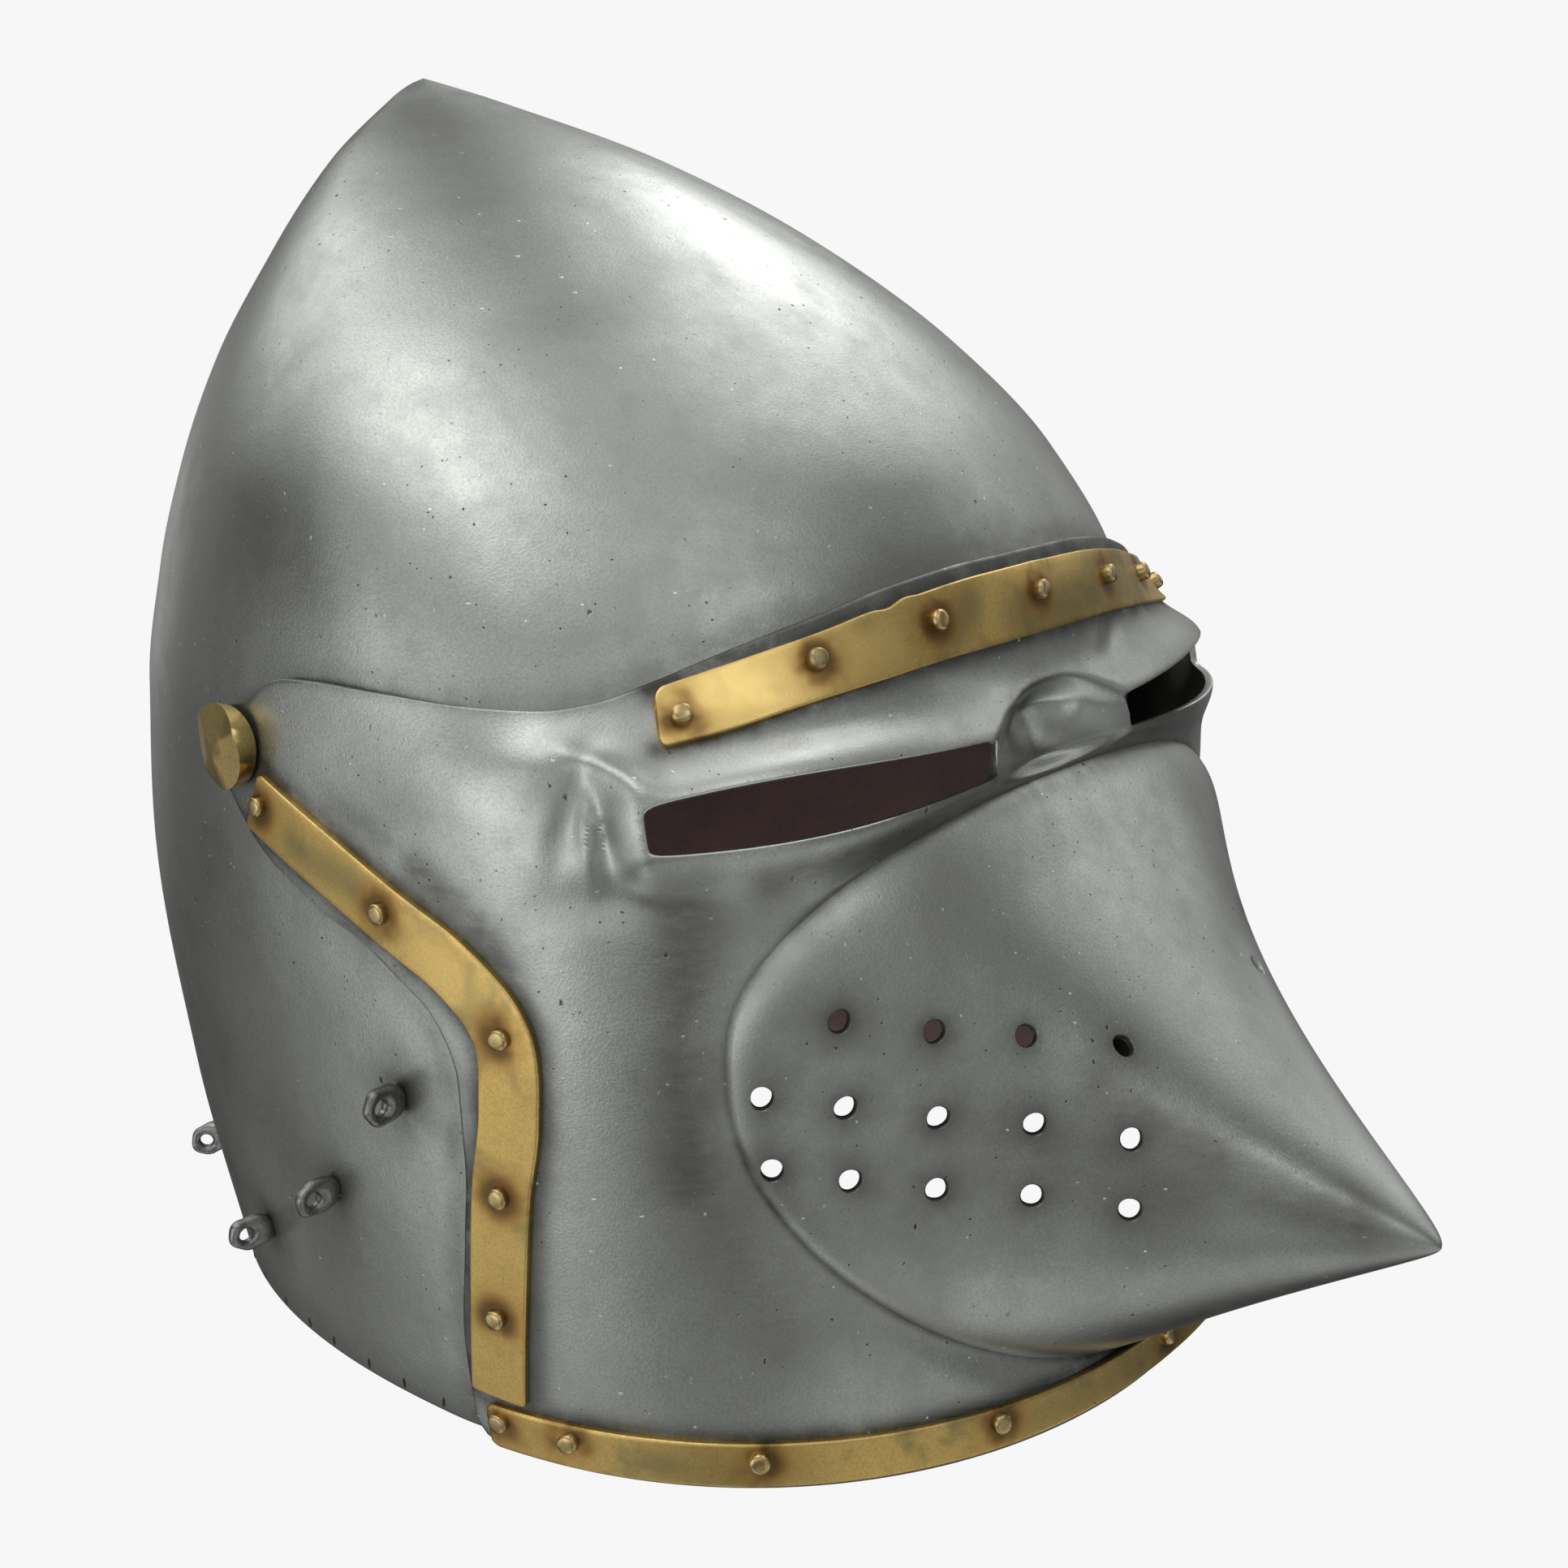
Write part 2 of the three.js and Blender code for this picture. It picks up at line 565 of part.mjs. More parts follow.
addRivetRow("brow_rivet", BROW_RIVETS, BROW_RIVET_HEIGHT);
addRivetRow("hem_rivet", HEM_RIVETS, EDGE_RIVET_HEIGHT);
for (const { side, word } of SIDES) {
  CHEEK_RIVETS.forEach((row, k) => {
    const { t, z } = cheekPlace(row / (CHEEK_LINE.length - 1), side, 0);
    addRivet(`cheek_rivet_${word}_${k + 1}`, t, z, EDGE_RIVET_HEIGHT);
  });
}

// A pivot bolt: a faceted round head outside the visor and a shank through both walls.
for (const { side, word } of SIDES) {
  const seat = visor.half(PIVOT.height) + CONTACT_GAP;
  const innerEnd = skull.half(PIVOT.height) - SKULL_WALL - seat;
  const { radius, rim, thickness } = BOLT_HEAD;
  const shank = [[0, innerEnd], [PIVOT_SHANK_RADIUS, innerEnd], [PIVOT_SHANK_RADIUS, 0]];
  const dome = [[radius * 0.93, rim + 0.6], [radius * 0.6, thickness - 0.3], [0, thickness]];
  const profile = [...shank, [radius * 0.96, 0], [radius, rim * 0.6], ...dome];
  const bolt = new THREE.LatheGeometry(profile.map(([x, y]) => new THREE.Vector2(x, y)), 16);
  bolt.rotateZ((-side * Math.PI) / 2);
  const made = solid(bolt.translate(side * seat, PIVOT.back, PIVOT.height));
  addPiece("pivot_bolt_" + word, made, COLOURS.brass);
}

// A neck loop: a flat forged eye that stands on the skull, pear-shaped, with its hole along the hem.
function loopOutline() {
  const { eye, radius, foot, standOff } = LOOP;
  const lean = Math.asin((radius - foot) / (standOff - CONTACT_GAP)) + Math.PI / 2;
  const outline = new THREE.Shape();
  outline.moveTo(CONTACT_GAP, -foot);
  outline.absarc(standOff, 0, radius, -lean, lean, false);
  outline.lineTo(CONTACT_GAP, foot);
  outline.closePath();
  outline.holes.push(new THREE.Path().absarc(standOff, 0, eye, 0, 2 * Math.PI, true));
  return outline;
}

function addLoop(name, side, back, height) {
  const centre = skull.centre(height);
  const behind = back > centre;
  const power = behind ? skull.backPower(height) : skull.frontPower(height);
  const share = (back - centre) / (behind ? skull.back(height) - centre : centre - skull.front(height));
  const round = Math.acos(-signedPower(share, power / 2));
  const foot = skullPoint(side * round, height);
  const normal = outward(skullPoint, side * round, height);
  const along = new THREE.Vector3(0, 0, 1).cross(normal).normalize();
  const eye = new THREE.ExtrudeGeometry(loopOutline(), {
    depth: LOOP.thickness - 1,
    bevelThickness: 0.5,
    bevelSize: 0.4,
    bevelOffset: -0.4,
    bevelSegments: 1,
    curveSegments: 5,
  });
  eye.translate(0, 0, (1 - LOOP.thickness) / 2);
  eye.applyMatrix4(new THREE.Matrix4().makeBasis(normal, along.clone().cross(normal), along));
  addPiece(name, solid(eye.translate(...foot.toArray())), COLOURS.darkSteel);
}

for (const { side, word } of SIDES) {
  LOOPS.forEach(({ back, height }, k) => addLoop(`neck_loop_${word}_${k + 1}`, side, back, height));
}

export default helmet;
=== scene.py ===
"""The looks of a hounskull bascinet: a pointed steel skull and a snouted visor with brass bands.

Shapes are worked out in millimetres, as in the frame's own source, and MM turns them into metres.
The wearer faces -Y, their right is -X, and the hem lies on Z = 0. An angle round the helmet
starts at the front (0) and grows towards the wearer's left, up to 180 degrees at the back.
"""

import logging
from dataclasses import dataclass, field
from enum import Enum
from typing import Callable, Sequence

import bpy
import numpy as np
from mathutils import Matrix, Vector


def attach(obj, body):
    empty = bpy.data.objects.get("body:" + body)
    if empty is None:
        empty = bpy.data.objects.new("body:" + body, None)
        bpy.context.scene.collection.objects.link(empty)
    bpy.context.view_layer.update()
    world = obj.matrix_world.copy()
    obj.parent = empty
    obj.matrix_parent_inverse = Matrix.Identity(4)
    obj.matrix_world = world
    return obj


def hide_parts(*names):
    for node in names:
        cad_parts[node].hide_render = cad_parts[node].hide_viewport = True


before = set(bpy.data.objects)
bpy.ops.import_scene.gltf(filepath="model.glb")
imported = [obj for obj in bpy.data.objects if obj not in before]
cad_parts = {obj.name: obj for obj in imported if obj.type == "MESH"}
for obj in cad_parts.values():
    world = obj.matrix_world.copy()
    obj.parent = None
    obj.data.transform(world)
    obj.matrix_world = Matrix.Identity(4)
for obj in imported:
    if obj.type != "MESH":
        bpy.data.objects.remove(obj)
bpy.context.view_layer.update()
log = logging.getLogger("bascinet")

MM = 0.001
PIVOT = (50.0, 134.5)  # the visor's axis, as Y and Z
PIVOT_HOLE = 3.35  # its holes' radius
UP = np.array([0.0, 0.0, 1.0])
CLOUD_COLUMNS = "angle height to_angle to_height reach strength"
SNOUT_COLUMNS = "round along to_round to_along reach strength"

Array = np.ndarray
Form = tuple[Array, list]
Line = Callable[[Array, Array], tuple[Array, Array]]
Colour = tuple[float, float, float, float]
Socket = bpy.types.NodeSocket
Piece = bpy.types.Object
Material = bpy.types.Material


class Side(Enum):
    """The two sides of the helmet, as the sign of X on each."""

    RIGHT = -1
    LEFT = 1

    @property
    def word(self) -> str:
        """The side's name as the frame's nodes have it."""
        return self.name.lower()


@dataclass(frozen=True)
class Curve:
    """A smooth curve through the rows of a table that never overshoots them (monotone cubic)."""

    places: Array
    values: Array

    def __call__(self, at: Array) -> Array:
        """Reads the curve.

        Each stretch is a cubic between two rows. The slope at a row is the weighted harmonic mean
        of the slopes of the stretches beside it, or nought where those differ in sign.

        Args:
            at: places along the table, of any shape.

        Returns:
            The values there, of the same shape.
        """
        x, y = self.places, self.values
        step = np.diff(x)
        rise = np.diff(y) / step
        slope = np.zeros_like(x)
        slope[0], slope[-1] = rise[0], rise[-1]
        before, after = rise[:-1], rise[1:]
        same = before * after > 0
        a = (2 * step[1:] + step[:-1])[same]
        b = (step[1:] + 2 * step[:-1])[same]
        slope[1:-1][same] = (a + b) / (a / before[same] + b / after[same])
        v = np.clip(at, x[0], x[-1])
        i = np.clip(np.searchsorted(x, v, side="right") - 1, 0, len(x) - 2)
        h = step[i]
        s = (v - x[i]) / h
        start = y[i] * (1 + 2 * s) * (1 - s) ** 2 + h * slope[i] * s * (1 - s) ** 2
        return start + y[i + 1] * s * s * (3 - 2 * s) + h * slope[i + 1] * s * s * (s - 1)


@dataclass(frozen=True)
class Table:
    """A short table of sections or places, whose columns are named in one string."""

    columns: str
    rows: tuple[tuple[float, ...], ...]

    def column(self, name: str) -> Array:
        """One column's values, from the first row to the last."""
        return np.array(self.rows, float)[:, self.columns.split().index(name)]

    def curve(self, name: str) -> Curve:
        """A smooth curve of one column over the table's first column."""
        return Curve(self.column(self.columns.split()[0]), self.column(name))


SKULL_SECTIONS = Table("z front back half centre front_power back_power", (
    (0, -64, 138, 108.4, 5, 2.3, 2.25),
    (45, -64, 152, 111, 12, 2.5, 2.28),
    (95, -64, 157, 113, 21, 2.6, 2.3),
    (135, -63, 154.5, 113, 26, 2.45, 2.22),
    (160, -58.5, 152, 110, 30, 2.05, 2.1),
    (182, -46.5, 145.5, 104, 37, 1.88, 2.03),
    (205, -22.5, 137.5, 91, 50, 1.82, 1.95),
    (228, 10.5, 126, 69, 70, 1.75, 1.85),
    (246, 47.5, 118, 43, 90, 1.72, 1.8),
    (258.5, 87.5, 113, 17.5, 104, 1.75, 1.85),
    (263.6, 106, 112.6, 4.5, 110, 2, 2),
    (265, 111, 111, 0, 111, 2, 2),
))

VISOR_SECTIONS = Table("z front half power", (
    (0, -100, 111.6, 2.2),
    (25, -95, 113.2, 2.3),
    (60, -87, 115.1, 2.5),
    (95, -77.5, 116, 2.9),
    (130, -67.3, 116.2, 3.2),
    (150, -63.8, 114.8, 2.3),
    (161, -61.6, 113, 2.05),
    (172, -57.4, 110.5, 1.98),
))

VISOR_OUTLINE = Table("angle height seam", (
    (0, 169.3, 0),
    (9, 169, 6),
    (20.3, 166.8, 14),
    (30.3, 162.7, 21),
    (39.5, 158.4, 28),
    (48.2, 153.7, 34.2),
    (54.8, 150.6, 39.5),
    (62, 149.2, 44.5),
    (71, 149.4, 50),
    (79.5, 150.1, 55),
    (87.3, 150.3, 60),
    (92.5, 149.5, 64),
    (95.4, 147, 67),
    (97.2, 143.4, 70),
    (100.2, 141.6, 72.5),
    (102.2, 137.5, 75),
    (102.2, 131.5, 78),
    (100, 124, 81.5),
    (96.6, 114.6, 85.5),
    (92, 107, 89),
    (86.5, 97, 93.5),
    (82.4, 89.4, 98),
    (80.4, 78, 103.5),
    (80.6, 62, 110),
    (82.2, 44, 117),
    (84.4, 20, 124),
    (84.6, 5, 127),
    (83.2, 1.3, 129),
    (80, 0, 132),
    (66, 0, 139),
    (48, 0, 149),
    (24, 0, 164),
    (0, 0, 180),
))

# The breaths of one side, a line for each row of them, from the seam to the tip.
BREATHS = Table("round along", (
    (69.7, 0.902), (61.8, 0.803), (49.4, 0.712), (33.6, 0.609),
    (91.1, 0.965), (89.8, 0.87), (87.8, 0.755), (80.6, 0.63), (71.8, 0.503),
    (103.1, 0.975), (103.7, 0.885), (104.6, 0.777), (104.3, 0.645), (105.5, 0.505),
))

# Hammer marks and creases of the visor's plate: where each is centred, how its length is turned
# from level, half its length and half its width, and how far it stands out (or in, where
# negative).
HAMMER_MARKS = Table("angle height turn length width rise", (
    (-57.4, 131, 104, 7, 2.0, -1.9),
    (-61, 134, 78, 9, 2.4, -1.6),
    (-59.3, 127, 92, 6.5, 1.5, 1.0),
    (-54.8, 139.5, -28, 9, 2.6, 1.7),
    (-63.5, 141, 5, 7, 4, 0.7),
    (-56, 117.5, 4, 15, 4.5, -0.9),
    (1.3, 134.8, 15, 5.5, 4, 0.9),
    (1.2, 135.8, 20, 2.5, 1.7, -1.3),
    (-2.6, 137, 62, 5, 1.4, 1.0),
    (-9, 148, -12, 14, 3, -0.4),
    (12, 147, 40, 6, 2.6, -0.6),
    (9, 149, 60, 5, 2, 0.4),
    (-30, 143, 6, 18, 3.4, -0.45),
))

# Soft dark clouds painted on the steel, partly painted shade and dark reflections and partly
# stains: where each begins and ends, its reach and how strong it is.
SKULL_SHADE_AND_STAIN = Table(CLOUD_COLUMNS, (
    (-57, 258, -45, 216, 11, 0.3),
    (-98, 178, -76, 158, 11, 0.4),
    (-32, 170, 14, 171, 9, 0.3),
    (40, 235, 62, 190, 12, 0.45),
    (96, 176, 130, 160, 13, 0.5),
    (-150, 150, -165, 90, 16, 0.4),
    (150, 100, 125, 40, 15, 0.45),
    (-110, 60, -98, 30, 12, 0.35),
))

# Painted highlights on the brass: the brow band's near end and a spot on the near cheek band.
BRASS_PAINTED_HIGHLIGHTS = Table(CLOUD_COLUMNS, (
    (-47, 148, -33, 153, 9, 1.0),
    (-30, 154, -22, 156, 6, 0.45),
    (-83, 106, -77, 97, 6, 0.3),
))

BRASS_PATINA = Table(CLOUD_COLUMNS, (
    (-13.5, 156, -11, 161, 5, 0.9),
    (-4, 158, 30, 155, 8, 0.7),
    (-92, 118, -88, 112, 5, 0.8),
    (-74.3, 95, -74, 86, 5, 0.5),
    (-62, 4, -52, 4, 7, 0.5),
    (-20, 5, 40, 5, 8, 0.6),
    (75, 90, 75, 60, 8, 0.5),
))

# Dark clouds on the visor's plate: painted shade in the nose recess, under the eye slits, beside
# the cheek bands and round the pivot, and darker patches on the cheeks.
VISOR_SHADE_AND_STAIN = Table(CLOUD_COLUMNS, (
    (-48.5, 114, -53.8, 64, 8.5, 0.75),
    (-52, 60, -46, 33, 11, 0.45),
    (49, 112, 54, 60, 9, 0.6),
    (70, 40, 60, 18, 12, 0.4),
    (-76, 138, -84, 130, 7, 0.35),
    (-2.6, 140, -1.5, 131, 5.2, 0.95),
    (-0.5, 140, -0.3, 130.5, 5, 1.0),
    (-2.2, 127.2, -0.1, 127.6, 3, 0.85),
    (-36, 119.5, -11, 123.5, 4.4, 0.8),
    (-11, 123.8, 11, 123.8, 3.4, 0.9),
    (36, 119.5, 11, 123.5, 4.2, 0.6),
    (-89.5, 127, -86, 123.5, 4, 0.7),
    (-82.4, 118.4, -78.4, 112.8, 4.8, 1.0),
    (-76, 110, -73.2, 102.5, 4.6, 0.95),
    (-73, 100, -71.2, 86, 3.8, 0.85),
    (-71.2, 86, -71, 70, 3.6, 0.75),
    (-71, 70, -73.6, 48, 3.4, 0.7),
    (-73.6, 48, -76.4, 16, 3.6, 0.8),
    (-98, 138, -99, 130, 5, 0.6),
))

# Dark clouds on the snout as on the plate, partly painted shade and partly darker patches; its
# places are degrees round the seam (negative on the right side) and shares of the way from the tip.
SNOUT_SHADE_AND_STAIN = Table(SNOUT_COLUMNS, (
    (-50, 0.6, -62, 0.16, 8, 0.7),
    (-88, 0.66, -96, 0.42, 11, 0.4),
    (80, 0.6, 60, 0.3, 9, 0.4),
))

# Painted highlights on the snout: a streak towards the tip and a strip beside the seam.
SNOUT_PAINTED_HIGHLIGHTS = Table(SNOUT_COLUMNS, (
    (32, 0.62, 26, 0.14, 6, 0.45),
    (-97, 0.99, -60, 0.985, 3, 0.25),
))

# Painted highlights on the visor's plate: the nose bridge's lit facet and ridge, and the brow
# shelf.
VISOR_PAINTED_HIGHLIGHTS = Table(CLOUD_COLUMNS, (
    (1.2, 138, 3.4, 131, 4.5, 0.5),
    (-4, 143.5, -8, 139, 4, 0.35),
    (-12, 139, -46, 138, 3.4, 0.5),
))

BROW_BAND_LINE = Table("angle height half", (
    (0, 159.6, 6.9),
    (10, 159, 6.85),
    (22.7, 156.3, 6.5),
    (30.8, 153.5, 5.9),
    (39.6, 150.3, 5.5),
    (44, 148.8, 5.15),
    (48, 147.4, 4.75),
))

CHEEK_BAND_LINE = Table("angle height", (
    (96.3, 124.6),
    (86.5, 108.8),
    (79, 100.4),
    (74, 89.4),
    (74.2, 73),
    (76.3, 56.8),
    (79, 30.4),
    (80.6, 12.4),
))

# The studio's soft lights, from the strongest down.
STUDIO_LIGHTS = Table("azimuth elevation sharpness strength", (
    (108, 39, 60, 1.54), (-124, 66, 12, 0.97), (-103, 1, 12, 0.79),
    (168, 47, 60, 0.73), (-2, 48, 60, 0.70), (-175, 33, 28, 0.69),
    (-79, 57, 60, 0.68), (79, 61, 60, 0.53), (96, 43, 12, 0.52),
    (65, 20, 60, 0.49), (-95, -57, 28, 0.40), (-129, -28, 60, 0.37),
    (33, -34, 28, 0.35), (-63, 4, 28, 0.31), (-94, -15, 60, 0.30),
    (164, -4, 60, 0.29), (-25, 30, 5, 0.29), (-2, -50, 12, 0.28),
    (-90, -77, 28, 0.26), (-24, -26, 60, 0.25), (-139, -11, 60, 0.22),
    (34, 71, 60, 0.22), (42, 6, 60, 0.21), (-1, -11, 60, 0.19),
    (-47, -44, 60, 0.19), (95, 6, 60, 0.14), (-169, -32, 60, 0.13),
    (-176, -2, 60, 0.10), (96, -14, 28, 0.08), (62, 7, 60, 0.07),
))

BROW_RIVETS = Table("angle height", ((0, 160.8), (15.8, 159.2), (30.2, 154.8), (45.2, 147.4)))
HEM_RIVETS = Table("angle height", ((0, 5.6), (24.6, 6.4), (51.8, 6.7), (72.6, 6.9), (80.8, 7)))
CHEEK_RIVET_ROWS = (0.1, 1, 3, 5, 6)  # rows of the cheek band's line that hold a rivet
NECK_LOOPS = Table("back height", ((9.8, 69.3), (33.5, 42), (64.7, 21.5), (116.6, 18)))


def signed_power(value: Array, power: Array) -> Array:
    """The power of a value's size, with the value's sign."""
    return np.sign(value) * np.abs(value) ** power


def unit(vectors: Array) -> Array:
    """Vectors of length one along the last axis."""
    return vectors / np.maximum(np.linalg.norm(vectors, axis=-1, keepdims=True), 1e-12)


def ease(value: Array, start: float, end: float) -> Array:
    """A smooth step: 0 up to the start, 1 from the end on, and 3s2 - 2s3 between them."""
    s = np.clip((value - start) / (end - start), 0, 1)
    return s * s * (3 - 2 * s)


def bell(distance: Array, reach: float) -> Array:
    """A bell that is 1 at no distance and falls off as exp(-(distance / reach)2)."""
    return np.exp(-((distance / reach) ** 2))


def nearest(points: Array, path: Array, block: int = 4000) -> Array:
    """Measures how far each point is from a set of path points.

    Args:
        points: places in millimetres, (n, 3).
        path: the path's points, (m, 3).
        block: how many places are measured at once.

    Returns:
        The distance from each point to the nearest path point, (n,).
    """
    best = np.empty(len(points))
    for start in range(0, len(points), block):
        part = points[start:start + block, None, :] - path[None, :, :]
        best[start:start + block] = np.sqrt((part ** 2).sum(-1).min(1))
    return best


def wander(along: Array, size: float, seed: int) -> Array:
    """Wavers slowly, like a hand-filed edge: three sines whose phases come from the seed.

    Args:
        along: places along the edge, in millimetres.
        size: how far it wavers.
        seed: picks the phases.

    Returns:
        How far the edge is out of line at each place.
    """
    phases = np.random.default_rng(seed).uniform(0, 2 * np.pi, 3)
    waves = [np.sin(along * pitch + phase) for pitch, phase in zip((0.09, 0.23, 0.61), phases)]
    return size * (0.5 * waves[0] + 0.3 * waves[1] + 0.2 * waves[2])


def turns(count: int) -> Array:
    """Angles evenly round a full turn, from 0."""
    return 2 * np.pi * np.arange(count) / count


def hammered(turn: Array, rng: np.random.Generator, *waves: tuple[int, float]) -> Array:
    """Waves a round outline as a hammer leaves it: 1 and a sine of each count and size.

    Args:
        turn: angles round the outline.
        rng: draws each sine's phase.
        waves: how often each sine comes round, and its size.

    Returns:
        The factor on the outline's radius.
    """
    factor = np.ones_like(turn)
    for times, size in waves:
        factor = factor + size * np.sin(times * turn + rng.uniform(0, 6))
    return factor


def ring_of(u: Array, v: Array, turn: Array) -> Array:
    """Directions round a turn in the plane of two unit vectors: u cos + v sin."""
    return u[..., None, :] * np.cos(turn)[:, None] + v[..., None, :] * np.sin(turn)[:, None]


def run_length(points: Array) -> Array:
    """How far along a line each of its points lies: the sum of the steps up to it."""
    steps = np.linalg.norm(np.diff(points, axis=0), axis=1)
    return np.concatenate([[0], np.cumsum(steps)])


class Skin:
    """A plate's outer face, a function of the angle round it (radians) and the height."""

    def sizes(self, z: Array) -> dict[str, Array]:
        """The level section at a height, as section() takes it. Each kind of plate has its own."""
        raise NotImplementedError

    def at(self, t: Array, z: Array) -> Array:
        """The plain plate's point at an angle and a height."""
        return self.section(t, z, **self.sizes(z))

    def angle_back(self, y: Array, z: Array) -> Array:
        """Finds where a section has a given Y: its cosine turned round.

        Args:
            y: places along Y.
            z: the sections' heights.

        Returns:
            The angles in radians, on the left side.
        """
        size = self.sizes(z)
        centre, front = size["centre"], y < size["centre"]
        depth = np.where(front, centre - size["front"], size["back"] - centre)
        power = np.where(front, size["front_power"], size["back_power"])
        return np.arccos(np.clip(signed_power((centre - y) / depth, power / 2), -1, 1))

    def raised(self, t: Array, z: Array, lift: Array = 0.0) -> Array:
        """The point with whatever relief the plate has, a lift over it."""
        return self.at(t, z) + self.outward(t, z) * np.asarray(lift)[..., None]

    def on(self, angle: Array, height: Array) -> Array:
        """The finished plate's point at an angle in degrees and a height."""
        return self.raised(np.radians(angle), height)

    def outward(self, t: Array, z: Array) -> Array:
        """Finds the unit normal: the face's slope round it crossed with its slope upwards.

        Args:
            t: angles in radians.
            z: heights.

        Returns:
            Unit vectors that point outwards.
        """
        around = self.at(t + 1e-3, z) - self.at(t - 1e-3, z)
        upward = self.at(t, z + 0.7) - self.at(t, z - 0.7)
        return unit(np.cross(around, upward))

    @staticmethod
    def section(t: Array, z: Array, front: Array, back: Array, half: Array, centre: Array,
                front_power: Array, back_power: Array) -> Array:
        """Places a point on a level section made of two half superellipses.

        Its width is half the section's width times the sine's power 2 / n, and its depth is the
        half's depth times the cosine's power 2 / n, where n is the front half's power or the back
        half's.

        Args:
            t: angles from the front, in radians.
            z: heights.
            front: where the section starts on the midline.
            back: where it ends on the midline.
            half: half its width.
            centre: where it is widest.
            front_power: n of the front half.
            back_power: n of the back half.

        Returns:
            Points, with a last axis of three.
        """
        c = np.cos(t)
        power = 2 / np.where(c > 0, front_power, back_power)
        depth = np.where(c > 0, centre - front, back - centre)
        x = half * signed_power(np.sin(t), power)
        y = centre - depth * signed_power(c, power)
        return np.stack(np.broadcast_arrays(x, y, z + 0 * x), -1)


class SkullSkin(Skin):
    """The skull's outer face, which rises from the hem to its point."""

    top = 265.0

    def __init__(self) -> None:
        """Draws a curve through each column of the skull's sections."""
        names = ("front", "back", "half", "centre", "front_power", "back_power")
        self.curves = {name: SKULL_SECTIONS.curve(name) for name in names}

    def sizes(self, z: Array) -> dict[str, Array]:
        """The skull's level section at a height."""
        return {name: curve(z) for name, curve in self.curves.items()}

    def inset(self, t: Array, z: Array, depth: float) -> Array:
        """A point that lies a depth inside the skull's face."""
        return self.at(t, z) - depth * self.outward(t, z)

    def shell(self, columns: int, heights: Array, inner_heights: Array, depth: float,
              wall: float) -> Array:
        """Works out a shell that follows the skull's face, with its hem's edge rolled round.

        Args:
            columns: how many points a ring has.
            heights: the outer face's rings, from the hem upwards.
            inner_heights: the inner face's rings.
            depth: how far inside the skull's face the shell's outer face lies.
            wall: the shell's thickness.

        Returns:
            Rings down the outer face, round the edge and up the inner face.
        """
        t = turns(columns)
        outer = self.inset(t, heights[:, None], depth)
        inner = self.inset(t, inner_heights[:, None], depth + wall)
        outer[0, :, 2] = inner[0, :, 2] = heights[0]
        normal = self.outward(t, np.full_like(t, heights[0]))
        rim = rolled_rim(outer[0], np.broadcast_to(-UP, normal.shape), normal, wall)
        return np.concatenate([outer[::-1], rim, inner])


